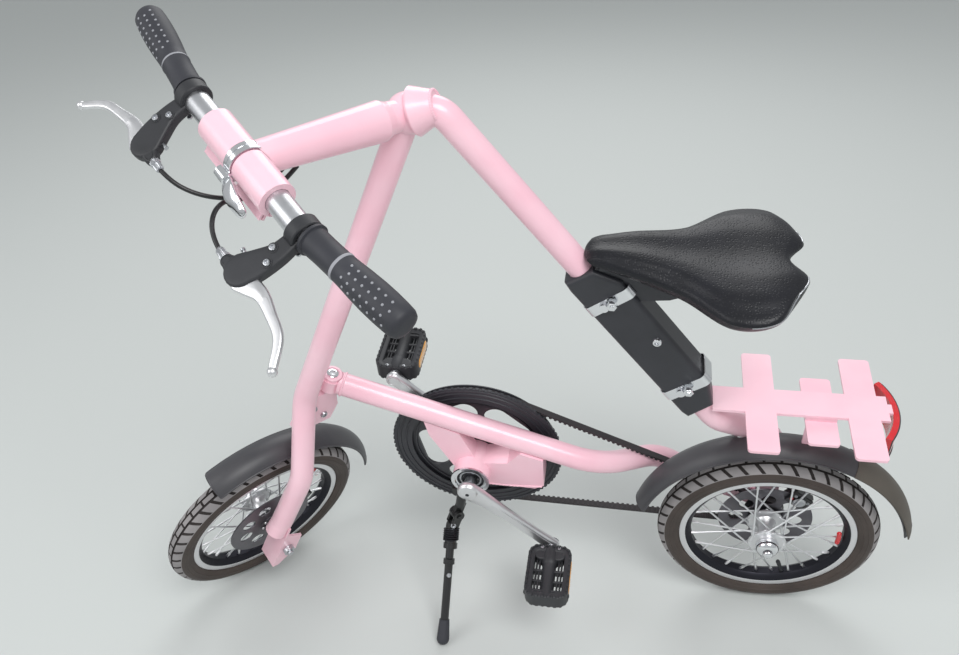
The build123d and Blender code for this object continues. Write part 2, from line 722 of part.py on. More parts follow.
# Chainring and cranks
def chainring():
    """Belt pulley with oval windows, a wide guard on its left and a narrow one on its right."""
    half = belt_width / 2 + 0.5
    foot = ring_pitch_radius - tooth_height - tooth_gap
    web = disc_between(foot, belt_y - 2.5, belt_y + 2.5)
    band = disc_between(foot, belt_y - half, belt_y + half, foot - 6)
    guard = disc_between(guard_radius, belt_y + half, belt_y + half + guard_sheet, foot - 14)
    outer_guard = disc_between(guard_radius - 6, belt_y - half - 2, belt_y - half, foot - 8)
    body = web + band + guard + outer_guard
    side_view = Plane((0, belt_y - 10, 0), x_dir=(1, 0, 0), z_dir=(0, 1, 0))
    window = extrude(side_view * Pos(window_circle, 0) * SlotOverall(*window_size, rotation=90), amount=30)
    for i in range(ring_windows):
        body -= Rot(Y=360.0 * i / ring_windows + 10) * window
    boss = disc_between(boss_radius, belt_y - half - 2, belt_y + half + 3.5)
    return at(bracket, body + boss - disc_between(spindle_radius + seat_gap, -80, 80))


def crank_spindle():
    return rod(bracket + vec(0, left_arm_high - 1, 0), bracket + vec(0, right_arm_low + 1, 0), spindle_radius)


def crank_arm(turn, y_low, y_high):
    """Cast crank: boss on the spindle, tapered arm, eye with a threaded hole for the pedal."""
    end = (crank_length * cos(radians(turn)), crank_length * sin(radians(turn)))
    arm = hull_plate([(0, 0, crank_root_radius), (end[0], end[1], crank_tip_radius)], y_low, y_high)
    arm += disc_between(crank_boss_radius, y_low, y_high)
    arm = chamfer(arm.edges().filter_by(GeomType.CIRCLE), crank_chamfer)
    arm -= disc_between(spindle_radius + seat_gap, y_low - 5, y_high + 5)
    arm -= Pos(end[0], 0, end[1]) * disc_between(pedal_pin_radius + axle_clearance, y_low - 5, y_high + 5)
    return at(bracket, arm)


def pedal_centre(side):
    """The point on the pedal's axle at the crank's outer face, left for +1 and right for -1."""
    turn = radians(crank_angle + (180 if side > 0 else 0))
    y = left_arm_high if side > 0 else right_arm_low
    return bracket + vec(crank_length * cos(turn), y, crank_length * sin(turn))


def pedal(side):
    """Pedal: barrel on its axle, two ribbed treads joined by end plates."""
    start, length = pedal_gap, pedal_length
    wide, thick = pedal_width, pedal_thickness
    body = disc_between(pedal_barrel_radius, start, start + length)
    body += Pos(0, start + 5, 0) * Box(wide - 10, 10, thick)
    body += Pos(0, start + length - 4, 0) * Box(wide - 10, 8, thick)
    rail_x = wide / 2 - pedal_rail / 2
    depth, lens_length, lens_height = reflector_size
    for edge in (-1, 1):
        body += Pos(edge * rail_x, start + length / 2, 0) * Box(pedal_rail, length, thick)
        for i in range(pedal_ribs):
            rib_y = start + 8 + i * (length - 16) / (pedal_ribs - 1)
            body += Pos(edge * rail_x, rib_y, 0) * Box(pedal_rail + 1.5, 4, thick + 3)
        body -= Pos(edge * wide / 2, start + length / 2, 0) * Box(2 * depth, lens_length, lens_height)
    body -= disc_between(pedal_pin_radius + axle_clearance, start - 2, start + length - 10)
    return at(pedal_centre(side), on_side(side, body))


def pedal_axle(side):
    inward = -crank_thickness * 0.9
    outward = pedal_gap + pedal_length - 14
    pin = rod((0, inward, 0), (0, outward, 0), pedal_pin_radius)
    pin += rod((0, seat_gap, 0), (0, pedal_gap - seat_gap, 0), pedal_pin_radius + 3)
    return at(pedal_centre(side), on_side(side, pin))


def pedal_reflectors(side):
    """Amber reflectors set in the front and rear faces of the pedal."""
    depth, length, height = reflector_size
    x, y = pedal_width / 2 - depth / 2, side * (pedal_gap + pedal_length / 2)
    lens = Box(depth - seat_gap, length - 2 * seat_gap, height - 2 * seat_gap)
    return at(pedal_centre(side), Pos(x, y, 0) * lens + Pos(-x, y, 0) * lens)


# Stance: where the floor lies in the bicycle's frame
def steered(point):
    return lower + spin(Vector(point) - lower, steer_up, steer_angle)


def leaned(vector, pitch):
    return spin(spin(vector, vec(0, 1, 0), pitch), vec(1, 0, 0), -lean_angle)


def tyre_bottom(centre, axle, pitch):
    """Height of a tyre's lowest point once the bicycle is pitched and leaned."""
    tilt = leaned(axle, pitch).Z
    return leaned(centre, pitch).Z - (wheel_radius - tyre_radius) * sqrt(1 - tilt ** 2) - tyre_radius


def level_pitch():
    """The pitch, found by halving, at which both tyres stand at one height."""
    low, high = -6.0, 6.0
    for _ in range(50):
        trial = (low + high) / 2
        gap = tyre_bottom(front_centre, front_axle_line, trial) - tyre_bottom(rear_axle, vec(0, 1, 0), trial)
        if gap > 0:
            low = trial
        else:
            high = trial
    return (low + high) / 2


def foot_centre():
    """Centre of the stand's round foot, a foot's radius above the floor."""
    x, y = stand_foot
    up = [leaned(vec(*unit), pitch_angle).Z for unit in ((1, 0, 0), (0, 1, 0), (0, 0, 1))]
    return vec(x, y, (foot_radius - lift_height - up[0] * x - up[1] * y) / up[2])


front_centre = steered(front_axle)
front_axle_line = spin(vec(0, 1, 0), steer_up, steer_angle)
pitch_angle = level_pitch()
lift_height = -tyre_bottom(rear_axle, vec(0, 1, 0), pitch_angle)

# Side stand: a tilted pivot carries the leg from the floor, below the pedal, to a place along the bicycle
stand_root = vec(*stand_pivot)
leg_down = (foot_centre() - stand_root).normalized()
leg_up = vec(*stand_folded).normalized()
level_axis = leg_down.cross(leg_up).normalized()
stand_axis = level_axis * cos(radians(stand_cone)) + (leg_down + leg_up).normalized() * sin(radians(stand_cone))
leg_flat = (leg_down - stand_axis * leg_down.dot(stand_axis)).normalized()
flat_up = (leg_up - stand_axis * leg_up.dot(stand_axis)).normalized()
stand_swing = leg_flat.get_angle(flat_up)
knee = stand_root + leg_flat * stand_knee
shin = (foot_centre() - knee).normalized()


def stand_leg():
    """Leg with a forked head on the pivot pin, a knuckle with the spring's collar, and a straight bar."""
    place = Plane(stand_root, x_dir=leg_flat, z_dir=stand_axis)
    body = rod(stand_root + leg_flat * 17, knee, knuckle_radius) + Plane(knee) * Sphere(knuckle_radius)
    for side in (-1, 1):
        body += place * Pos(0, 0, 7 * side) * Cylinder(stand_cheek, 5)
        body += place * Pos(10, 0, 7 * side) * Box(20, 14, 5)
    body += rod(knee, knee + shin * knuckle_length, knuckle_radius)
    body += rod(knee + shin * (knuckle_length - 6), knee + shin * (knuckle_length + 2), knuckle_radius + 1.5)
    body += rod(knee + shin * knuckle_length, foot_centre() - shin * 4, stand_leg_radius)
    return body - place * Cylinder(stand_pin_radius + seat_gap, 60)


def stand_foot_piece():
    """Rubber boot on the end of the stand's leg."""
    foot = foot_centre()
    start = foot - shin * foot_length
    boot = rod(start, foot, foot_radius - 2, foot_radius) + Plane(foot) * Sphere(foot_radius)
    return boot - rod(start - shin, foot - shin * 3.5, stand_leg_radius + seat_gap)


# Front fork: the pieces that steer
def beside_front(pair):
    """A point of the front leg's middle line from its offset to the front axle."""
    return vec(wheel_base + pair[0], leg_offset_front, wheel_radius + pair[1])


leg_line = [middle(front_tube_bend)] + [beside_front(pair) for pair in (leg_front_knee, leg_front_low, leg_front_end)]


def front_tube():
    """Ball of the top joint, stem, and the front tube down to the leg on the wheel's left."""
    near, far = stem_root_along
    ball = Plane(top) * Sphere(ball_radius)
    neck = rod(top, top + stem_direction * near, tube_radius, tube_radius + 2)
    shoulder = rod(top + stem_direction * near, top + stem_direction * far, tube_radius + 2, stem_root_radius)
    stem = rod(top + stem_direction * far, clamp, stem_root_radius, stem_end_radius)
    stem -= Plane(clamp, x_dir=(1, 0, 0), z_dir=(0, 1, 0)) * Cylinder(sleeve_radius + seat_gap, 60)
    return ball + neck + shoulder + stem + bent_tube([top] + leg_line, front_tube_bends, tube_radius)


def front_lug():
    """Folded gusset behind the front tube that carries the ball stud of the lower joint."""
    shelf = lower - steer_up * lug_drop
    back = shelf - steer_forward * 8
    outline = [(back.X, back.Z), (shelf.X + 26, shelf.Z + 9)] + [(lower.X + x, lower.Z + z) for x, z in lug_outline]
    plate = side_plate(outline, -lug_half, lug_half)
    tube = bent_tube([top] + leg_line[:3], front_tube_bends[:2], tube_radius + seat_gap)
    return plate - tube - rod(lower - steer_up * 60, lower, stud_radius + seat_gap)


def ball_stud():
    head = Plane(lower) * Sphere(ball_stud_radius)
    stud = rod(lower - steer_up * stud_length, lower - steer_up * 4, stud_radius)
    collar_low, collar_high = lower - steer_up * (lug_drop - seat_gap), lower - steer_up * (lug_drop - 3.5)
    return head + stud + rod(collar_low, collar_high, stud_collar_radius)


def fork_bracket():
    """Folded plate bracket at the leg's foot: a front face and two cheeks that hold the axle."""
    high = (wheel_base + foot_plate_high[0], wheel_radius + foot_plate_high[1])
    low = (wheel_base + foot_plate_low[0], wheel_radius + foot_plate_low[1])
    length = hypot(low[0] - high[0], low[1] - high[1])
    run = ((low[0] - high[0]) / length, (low[1] - high[1]) / length)
    back = (run[1], -run[0])
    depth, wall = foot_plate_depth, foot_plate_wall

    def corner(along, behind):
        return (high[0] + run[0] * along + back[0] * behind, high[1] + run[1] * along + back[1] * behind)

    y_low, y_high = leg_offset_front - foot_plate_low_y, leg_offset_front + foot_plate_high_y
    face = side_plate([corner(0, 0), corner(length, 0), corner(length, wall), corner(0, wall)], y_low, y_high)
    cheek = [corner(18, 0), corner(length, 0), corner(length, 10), corner(72, depth), corner(34, depth)]
    body = face + side_plate(cheek, y_low, y_low + wall) + side_plate(cheek, y_high - wall, y_high)
    tube = bent_tube(leg_line, front_tube_bends[1:], tube_radius + seat_gap)
    axle = rod((wheel_base, -60, wheel_radius), (wheel_base, 120, wheel_radius), axle_radius + seat_gap)
    return body - tube - axle


def front_axle_piece():
    y_high = leg_offset_front + foot_plate_high_y
    axle = rod((wheel_base, -50, wheel_radius), (wheel_base, y_high + 12, wheel_radius), axle_radius)
    return axle + rod((wheel_base, y_high + seat_gap, wheel_radius), (wheel_base, y_high + 8, wheel_radius), nut_radius)


def front_mudguard():
    guard = at(front_axle, mudguard(front_crown_radius, *front_guard_angles))
    stay_start = (wheel_base - 88, guard_half_width - 2, wheel_radius + 160)
    stay = rod(stay_start, (wheel_base - 73, leg_offset_front - 15, wheel_radius + 164), stay_radius)
    leg = bent_tube(leg_line[:3], front_tube_bends[1:2], tube_radius + seat_gap)
    return guard + stay - leg


# Handlebar and what it carries
across_bar = Plane(clamp, x_dir=(1, 0, 0), z_dir=(0, 1, 0))
lever_reach = vec(cos(radians(lever_tilt)), 0, sin(radians(lever_tilt)))
lever_up = vec(-lever_reach.Z, 0, lever_reach.X)
lever_plane = Plane(clamp, x_dir=lever_reach, z_dir=lever_up)
cable_start_y = adjuster_place[1] - adjuster_ring[1] - adjuster_barrel[1] - 1
cable_start = clamp + lever_reach * adjuster_place[0] + vec(0, cable_start_y, 0)


def bar_points():
    """End of the handlebar and the knee where its sweep starts, on the left."""
    reach = bar_half_width - bar_straight
    sweep_turn = radians(bar_sweep)
    knee_point = vec(clamp.X, bar_straight, clamp.Z)
    return knee_point + vec(-reach * sin(sweep_turn), reach * cos(sweep_turn), 0), knee_point


def handlebar(grow=0.0):
    end, bend = bar_points()
    right_end, right_bend = vec(end.X, -end.Y, end.Z), vec(bend.X, -bend.Y, bend.Z)
    return bent_tube([right_end, right_bend, bend, end], bar_bends, bar_radius + grow)


def handlebar_clamp():
    """Split cross sleeve at the stem's end, with a pinch flange below its front."""
    half = sleeve_half_length
    body = across_bar * Cylinder(sleeve_radius, 2 * half)
    body -= across_bar * Cylinder(sleeve_radius + 5, clamp_band_width + 2)
    body += across_bar * Cylinder(sleeve_radius - sleeve_wall_cut, 20)
    flange = Pos(clamp.X + 14, 0, clamp.Z - 15) * Rot(Y=-40) * Box(7, 2 * half - 12, 18)
    body += flange - across_bar * Cylinder(sleeve_radius + 8, clamp_band_width + 2)
    slit = Pos(clamp.X + 22, 0, clamp.Z - 24) * Rot(Y=-40) * Box(1.6, 2 * half + 4, 44)
    return body - slit - across_bar * Cylinder(bar_radius + seat_gap, 2 * half + 10)


def clamp_lever():
    """Quick-release band round the sleeve with its cam lever."""
    inner = sleeve_radius - sleeve_wall_cut + seat_gap
    band = across_bar * Cylinder(sleeve_radius + 3, clamp_band_width)
    barrel = rod((clamp.X + 25, -7, clamp.Z - 3), (clamp.X + 25, 7, clamp.Z - 3), 7)
    lever = rod((clamp.X + 26, 5, clamp.Z - 3), (clamp.X + 30, 36, clamp.Z - 6), 4.5, 3.5)
    stem_cut = rod(top, clamp, stem_root_radius + seat_gap, stem_end_radius + seat_gap)
    return band + barrel + lever - across_bar * Cylinder(inner, 20) - stem_cut


def grip(side):
    """Shaped grip: collar, waist, swollen palm and a domed end."""
    end, bend = bar_points()
    direction = (end - bend).normalized()
    start = bend + direction * (grip_start - bar_straight)
    length = (end - start).length
    profile = grip_profile + [(length, grip_end_radius)] + [(length + d, r) for d, r in grip_cap]
    outline = [(0, 0)] + [(r, d) for d, r in profile] + [(0, profile[-1][0])]
    body = turned(outline) - disc_between(bar_radius + seat_gap, -2, length + seat_gap)
    body = Plane(start, x_dir=vec(0, 0, 1), z_dir=vec(0, 0, 1).cross(direction)) * body
    return on_side(side, body)


def joined_blades(circles, thickness):
    """A flat arm whose width follows circles along its middle line, each (reach, y, radius)."""
    body = None
    for first, second in zip(circles, circles[1:]):
        edges = (Pos(first[0], first[1]) * Circle(first[2])).edges() + (Pos(second[0], second[1]) * Circle(second[2])).edges()
        part = extrude(make_hull(edges), amount=thickness / 2, both=True)
        body = part if body is None else body + part
    return body


def lever_body(side):
    """Lever holder: clamp ring on the bar, arm forward and the socket of the cable's adjuster."""
    place = Plane(clamp + vec(0, holder_y, 0), x_dir=(1, 0, 0), z_dir=(0, 1, 0))
    ring = place * Cylinder(holder_ring_radius, holder_ring_width)
    arm = joined_blades(holder_arm, holder_thickness) + joined_blades(holder_socket, holder_thickness)
    slot = joined_blades(holder_slot, lever_thickness + 0.9)
    return on_side(side, ring + lever_plane * arm - lever_plane * slot - handlebar(seat_gap))


def brake_lever(side):
    """Cast lever blade with a ball at its tip."""
    body = lever_plane * joined_blades(lever_line, lever_thickness)
    body += lever_plane * Pos(lever_tip[0], lever_tip[1], 0) * Sphere(lever_tip[2])
    return on_side(side, body)


def adjuster(side):
    """Barrel adjuster screwed into the lever holder, with its lock ring."""
    place = Plane(clamp + lever_reach * adjuster_place[0] + vec(0, adjuster_place[1], 0), z_dir=(0, -1, 0))
    low = (Align.CENTER, Align.CENTER, Align.MIN)
    body = place * Cylinder(*adjuster_ring, align=low)
    body += place * Pos(0, 0, adjuster_ring[1]) * Cylinder(*adjuster_barrel, align=low)
    return on_side(side, body)


def cable(side):
    """Brake cable in its housing, from the lever's adjuster to the underside of the stem."""
    route = left_route if side > 0 else right_route
    start = vec(cable_start.X, side * cable_start.Y, cable_start.Z)
    on_stem = top + stem_direction * ((cable_end_x - top.X) / stem_direction.X)
    end = vec(cable_end_x, side * cable_end_side, on_stem.Z - cable_end_drop)
    points = [start] + [vec(*p) for p in route] + [end]
    radii = []
    for before, bend, after in zip(points, points[1:], points[2:]):
        first, second = bend - before, after - bend
        turn = radians(first.get_angle(second))
        radii.append(0.45 * min(first.length, second.length) / tan(turn / 2))
    return bent_tube(points, radii, cable_radius)


def wheel_piece(name, make, *values):
    """A piece of a wheel in its place; the front wheel has its brake on the left, the rear on the right."""
    if name == "front":
        return at(front_axle, mirror(make(*values), about=Plane.XZ))
    return at(rear_axle, make(*values))


def rear_caliper():
    arm_end = (rear_caliper_arm[0], leg_offset_rear + tube_radius + 3, rear_caliper_arm[1])
    body = wheel_piece("rear", caliper, rear_caliper_turn, arm_end)
    return body - bent_tube(main_tube_path(), main_tube_bends, tube_radius + seat_gap)


def front_caliper():
    arm_end = (front_caliper_arm[0], tube_radius + 3 - leg_offset_front, front_caliper_arm[1])
    body = wheel_piece("front", caliper, front_caliper_turn, arm_end)
    return body - bent_tube(leg_line[:3], front_tube_bends[1:2], tube_radius + seat_gap)


def rear_cog():
    """Small belt pulley on the rear axle, with a guard flange on its right."""
    half = belt_width / 2 + 0.5
    bore = axle_radius + axle_clearance
    cog = disc_between(cog_pitch_radius - tooth_height - tooth_gap, belt_y - half, belt_y + half, bore)
    cog += disc_between(cog_pitch_radius + 4, belt_y - half - cog_flange, belt_y - half, bore)
    return at(rear_axle, cog)


# The list of pieces, each on the group that carries it
for name, group, cap_end in (("rear", rear, rear_cap_end), ("front", front, front_cap_end)):
    add(name + "_tyre", group, wheel_piece, name, tyre)
    add(name + "_rim", group, wheel_piece, name, rim)
    add(name + "_hub", group, wheel_piece, name, hub, cap_end)
    add(name + "_rotor", group, wheel_piece, name, rotor)
add("rear_caliper", rear, rear_caliper)
add("front_caliper", front, front_caliper)
add("main_tube", rear, main_tube)
add("saddle_moulding", rear, saddle_moulding)
add("upper_band", rear, band_clamp, upper_band_along)
add("lower_band", rear, band_clamp, lower_band_along)
add("saddle_base", rear, saddle_base)
add("saddle", rear, saddle)
add("rack", rear, rack)
add("rear_reflector", rear, reflector)
add("rear_mudguard", rear, rear_mudguard)
add("rear_axle", rear, rear_axle_piece)
add("bottom_tube", bottom, bottom_tube)
add("crank_housing", bottom, crank_housing)
add("left_bearing_ring", bottom, left_bearing_ring)
add("right_bearing_ring", bottom, right_bearing_ring)
add("belt", bottom, belt)
add("stand_bracket", bottom, stand_bracket)
add("stand_leg", bottom, stand_leg)
add("stand_foot", bottom, stand_foot_piece)
add("rear_cog", bottom, rear_cog)
add("chainring", bottom, chainring)
add("crank_spindle", bottom, crank_spindle)
add("left_crank", bottom, crank_arm, crank_angle + 180, left_arm_low, left_arm_high)
add("right_crank", bottom, crank_arm, crank_angle, right_arm_low, right_arm_high)
for side, word in ((1, "left"), (-1, "right")):
    add(word + "_pedal_axle", bottom, pedal_axle, side)
    add(word + "_pedal", bottom, pedal, side)
    add(word + "_pedal_reflectors", bottom, pedal_reflectors, side)
    add(word + "_grip", front, grip, side)
    add(word + "_lever_body", front, lever_body, side)
    add(word + "_brake_lever", front, brake_lever, side)
    add(word + "_cable_adjuster", front, adjuster, side)
    add(word + "_cable", front, cable, side)
add("front_tube", front, front_tube)
add("front_lug", front, front_lug)
add("ball_stud", front, ball_stud)
add("fork_bracket", front, fork_bracket)
add("front_axle", front, front_axle_piece)
add("front_mudguard", front, front_mudguard)
add("handlebar", front, handlebar)
add("handlebar_clamp", front, handlebar_clamp)
add("clamp_lever", front, clamp_lever)


def parked(group, shape):
    """A piece turned to the steering stop where it steers, then pitched, leaned and set on the floor."""
    if group == front:
        shape = shape.rotate(Axis(lower, steer_up), steer_angle)
    shape = shape.rotate(Axis.Y, pitch_angle).rotate(Axis.X, -lean_angle)
    return Pos(0, 0, lift_height) * shape


standing = {node: parked(group, shape) for node, (group, shape) in pieces.items()}
boxes = [shape.bounding_box() for shape in standing.values()]
least = vec(min(b.min.X for b in boxes), min(b.min.Y for b in boxes), min(b.min.Z for b in boxes))
most = vec(max(b.max.X for b in boxes), max(b.max.Y for b in boxes), max(b.max.Z for b in boxes))
shift = vec(-(least.X + most.X) / 2, -(least.Y + most.Y) / 2, 0)


def parked_point(point, group=rear):
    point = steered(point) if group == front else Vector(point)
    return leaned(point, pitch_angle) + vec(0, 0, lift_height) + shift


def parked_direction(direction, group=rear):
    direction = Vector(direction)
    direction = spin(direction, steer_up, steer_angle) if group == front else direction
    return leaned(direction, pitch_angle)


sideways = vec(0, 1, 0)
# Axes of everything that turns: a point on the axis and its direction, as parked
hinges = {
    "rear_wheel": (parked_point(rear_axle), parked_direction(sideways)),
    "front_wheel": (parked_point(front_axle, front), parked_direction(sideways, front)),
    "steering": (parked_point(lower), parked_direction(steer_up)),
    "bottom_tube_lift": (parked_point(rear_axle), parked_direction(sideways * -1)),
    "crank": (parked_point(bracket), parked_direction(sideways)),
    "left_pedal": (parked_point(pedal_centre(1)), parked_direction(sideways)),
    "right_pedal": (parked_point(pedal_centre(-1)), parked_direction(sideways)),
    "side_stand": (parked_point(stand_root), parked_direction(stand_axis)),
}

if __name__ == "__main__":
    os.makedirs("parts", exist_ok=True)
    for node, shape in standing.items():
        export_step(Pos(*shift) * shape, f"parts/{node}.step")
    print("pitch", round(pitch_angle, 3), "lift", round(lift_height, 2), "foot", foot_centre())
    print("stand swings through", round(stand_swing, 1), "degrees")
    print("size", most - least, "lowest", round(least.Z, 3))
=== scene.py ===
# %% [markdown]
# This file dresses a folding bicycle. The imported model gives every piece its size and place, and the
# cells below give the pieces their finish and the small forms that make them look real: tread, spokes,
# dimples, weld beads, springs and bolts. Such forms could be modelled by hand. Here each new surface is
# a formula of two parameters on a grid, because a formula stays exact and is easy to change.

# %% Load the frame
import bmesh
import bpy
import json
import numpy as np
from mathutils import Matrix


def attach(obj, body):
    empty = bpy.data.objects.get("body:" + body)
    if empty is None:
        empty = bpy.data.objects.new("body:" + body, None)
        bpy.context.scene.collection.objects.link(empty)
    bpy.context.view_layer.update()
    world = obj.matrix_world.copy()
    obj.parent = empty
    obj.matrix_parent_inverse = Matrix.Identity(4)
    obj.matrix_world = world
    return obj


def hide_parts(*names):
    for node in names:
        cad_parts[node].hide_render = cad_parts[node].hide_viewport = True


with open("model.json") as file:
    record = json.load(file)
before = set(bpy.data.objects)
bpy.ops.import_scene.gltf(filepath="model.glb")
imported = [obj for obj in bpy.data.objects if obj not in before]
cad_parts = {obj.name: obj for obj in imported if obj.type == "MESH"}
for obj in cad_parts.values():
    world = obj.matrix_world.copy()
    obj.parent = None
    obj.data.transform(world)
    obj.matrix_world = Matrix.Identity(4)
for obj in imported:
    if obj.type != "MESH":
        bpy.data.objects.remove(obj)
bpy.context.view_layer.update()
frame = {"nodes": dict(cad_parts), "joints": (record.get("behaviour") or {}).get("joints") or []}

# %% [markdown]
# The bicycle is parked leaning on its stand with the steering turned. Every point could be measured in
# that leaning pose, but it is far easier to think of the bicycle upright, with millimetres forward, to
# the left and up from under the rear axle. So the few places that everything hangs on are written here
# in that upright frame: wheels, joints, bottom bracket and handlebar.

# %% Places of the upright bicycle
WHEEL_RADIUS = 163.0
WHEEL_BASE = 821.0
TOP_JOINT = np.array([478.0, 0.0, 863.0])
LOWER_JOINT = np.array([648.0, 0.0, 427.0])
BRACKET = np.array([447.0, 0.0, 268.0])
BAR_CLAMP = np.array([668.0, 0.0, 911.0])
STEER_ANGLE = np.radians(48.5)
SIDES = (("left", 1), ("right", -1))

joints = {joint["name"]: joint for joint in frame["joints"]}
print("joints of the packed frame:", ", ".join(joints))

# %% [markdown]
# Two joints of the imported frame, the rear axle and the steering axis, give the turn from the upright
# bicycle to the parked one. A parent object could carry that turn, but finished pieces have their place
# in their mesh, so a few functions turn the points themselves. The wheels get functions of their own,
# whose points are measured from the wheel's centre.

# %% From the upright bicycle to the parked one


def unit(vector):
    """A vector divided by its length, along the last axis of an array."""
    vector = np.asarray(vector, float)
    return vector / np.linalg.norm(vector, axis=-1, keepdims=True)


def spin(vectors, axis, angle):
    """Vectors turned about a unit axis: v cos t + (axis x v) sin t + axis (axis . v)(1 - cos t)."""
    vectors = np.asarray(vectors, float)
    along = (vectors @ axis)[..., None] * axis
    return vectors * np.cos(angle) + np.cross(axis, vectors) * np.sin(angle) + along * (1 - np.cos(angle))


rear_axle = np.array(joints["rear_wheel_spin"]["pos_m"])
side_row = unit(joints["rear_wheel_spin"]["axis"])
steer_row = unit(joints["steering"]["axis"])
steer_bike = unit(TOP_JOINT - LOWER_JOINT)
across_row = np.cross(side_row, steer_row)
forward_row = steer_bike[0] * steer_row + steer_bike[2] * across_row
up_row = steer_bike[2] * steer_row - steer_bike[0] * across_row
BIKE_AXES = np.stack([forward_row, side_row, up_row])


def on_bike(points):
    """Points of the upright bicycle, in mm, to the parked bicycle, in metres."""
    points = np.asarray(points, float) - [0, 0, WHEEL_RADIUS]
    return rear_axle + points @ BIKE_AXES / 1000


def steered(points):
    """Points of the straight fork turned about the steering axis to the parked angle."""
    return LOWER_JOINT + spin(np.asarray(points, float) - LOWER_JOINT, steer_bike, STEER_ANGLE)


def on_fork(points):
    """Points of the straight fork, in mm, to the parked bicycle, in metres."""
    return on_bike(steered(points))


def in_rear_wheel(points):
    """Points about a wheel's centre, with its axle along y, to the parked rear wheel."""
    return on_bike(np.asarray(points, float) + [0, 0, WHEEL_RADIUS])


def in_front_wheel(points):
    """The same for the front wheel, mirrored, because its brake is on the other side."""
    return on_fork(np.asarray(points, float) * [1, -1, 1] + [WHEEL_BASE, 0, WHEEL_RADIUS])


WHEELS = (("rear", in_rear_wheel), ("front", in_front_wheel))
print("front axle, worked out here:", on_fork([WHEEL_BASE, 0, WHEEL_RADIUS]).round(4))
print("front axle, in the packed frame:", joints["front_wheel_spin"]["pos_m"])

# %% [markdown]
# The camera stands high on the bicycle's left, a little behind its middle, and tips down. It could be
# moved by eye until the picture looks right. Its place was solved against the wheels and the frame's
# joints instead, so it is written in the bicycle's own frame and holds for every part of the picture.

# %% Camera
CAMERA_PLACE = [220.9, 869.5, 1346.0]
CAMERA_TURN = 0.224
CAMERA_TIP = 0.730
CAMERA_ROLL = 0.094
FOCAL_PIXELS = 901.0
FRAME_PIXELS = 959.0
SENSOR_WIDTH = 36.0


def in_scene(name, data, axes=np.eye(3), place=(0, 0, 0)):
    """Links a new object to the scene; the rows of axes are its own x, y and z directions."""
    item = bpy.data.objects.new(name, data)
    bpy.context.scene.collection.objects.link(item)
    matrix = np.eye(4)
    matrix[:3, :3] = np.transpose(axes)
    matrix[:3, 3] = place
    item.matrix_world = Matrix(matrix.tolist())
    return item


def camera_axes(turn, tip, roll):
    """Right, up and backward directions of a camera that looks across the bicycle to its right."""
    look = np.array([np.sin(turn) * np.cos(tip), -np.cos(turn) * np.cos(tip), -np.sin(tip)])
    level = np.array([-np.cos(turn), -np.sin(turn), 0.0])
    down = np.cross(look, level)
    right = np.cos(roll) * level + np.sin(roll) * down
    under = -np.sin(roll) * level + np.cos(roll) * down
    return np.stack([right, -under, -look])


view_axes = camera_axes(CAMERA_TURN, CAMERA_TIP, CAMERA_ROLL) @ BIKE_AXES
camera = in_scene("camera", bpy.data.cameras.new("camera"), view_axes, on_bike(CAMERA_PLACE))
camera.data.sensor_width = SENSOR_WIDTH
camera.data.lens = FOCAL_PIXELS / FRAME_PIXELS * SENSOR_WIDTH
camera.data.clip_end = 50
bpy.context.scene.camera = camera
print("camera at", on_bike(CAMERA_PLACE).round(3))

# %% [markdown]
# A colour is written as the hex value a designer would pick. Screens store such values bent by a curve,
# and Blender reckons in linear light, so one function bends them back. Every material is a few nodes;
# they could be wired by hand in the editor, but one function that adds any node with its settings and
# links makes each finish short enough to read at a glance.

# %% Colours and nodes


def colour(hex_code):
    """sRGB hex to linear RGBA: c / 12.92 below 0.04045, else ((c + 0.055) / 1.055) to the power 2.4."""
    c = np.array([int(hex_code[i:i + 2], 16) for i in (1, 3, 5)]) / 255
    linear = np.where(c <= 0.04045, c / 12.92, ((c + 0.055) / 1.055) ** 2.4)
    return (*linear.tolist(), 1.0)


def node(tree, kind, inputs=(), feeds=None, **settings):
    """Adds a node with its settings. Each named input gets a value or a link from a socket, and the
    node's first output is linked to the socket that it feeds."""
    new = tree.nodes.new(kind)
    for key, value in settings.items():
        setattr(new, key, value)
    for key, value in dict(inputs).items():
        if isinstance(value, bpy.types.NodeSocket):
            tree.links.new(value, new.inputs[key])
        else:
            new.inputs[key].default_value = value
    if feeds is not None:
        tree.links.new(new.outputs[0], feeds)
    return new


print("mid grey #808080 in linear light:", round(colour("#808080")[0], 4))

# %% [markdown]
# Every finish starts from what the real surface is and how it was made. A picture could be wrapped round
# each piece, but it would stretch and repeat, so patterns are worked out in space, on the object's own
# coordinates, from real sizes in millimetres. Two effects return in most of them: a colour that drifts
# in soft clouds, as on anything handled, and a fine grain that roughens the surface.

# %% What most finishes share


def finish(name, **sockets):
    """A material with a Principled shader: the material, its tree, the shader's sockets and coordinates."""
    material = bpy.data.materials.new(name)
    material.use_nodes = True
    tree = material.node_tree
    skin = tree.nodes["Principled BSDF"].inputs
    for key, value in sockets.items():
        skin[key.replace("_", " ")].default_value = value
    place = node(tree, "ShaderNodeTexCoord").outputs["Object"]
    return material, tree, skin, place


def pattern(place, size_mm, **others):
    """The inputs of a pattern on object coordinates, in metres, whose features are size_mm apart."""
    return {"Vector": place, "Scale": 1000.0 / size_mm, **others}


def drifting_colour(tree, skin, place, size_mm, detail, stops):
    """Colour drifts between tones: a cloud of the given size picks it from (position, hex) stops."""
    cloud = node(tree, "ShaderNodeTexNoise", pattern(place, size_mm, Detail=detail))
    tones = node(tree, "ShaderNodeValToRGB", {"Fac": cloud.outputs["Fac"]}, skin["Base Color"])
    for element, (position, tone) in zip(tones.color_ramp.elements, stops):
        element.position, element.color = position, colour(tone)


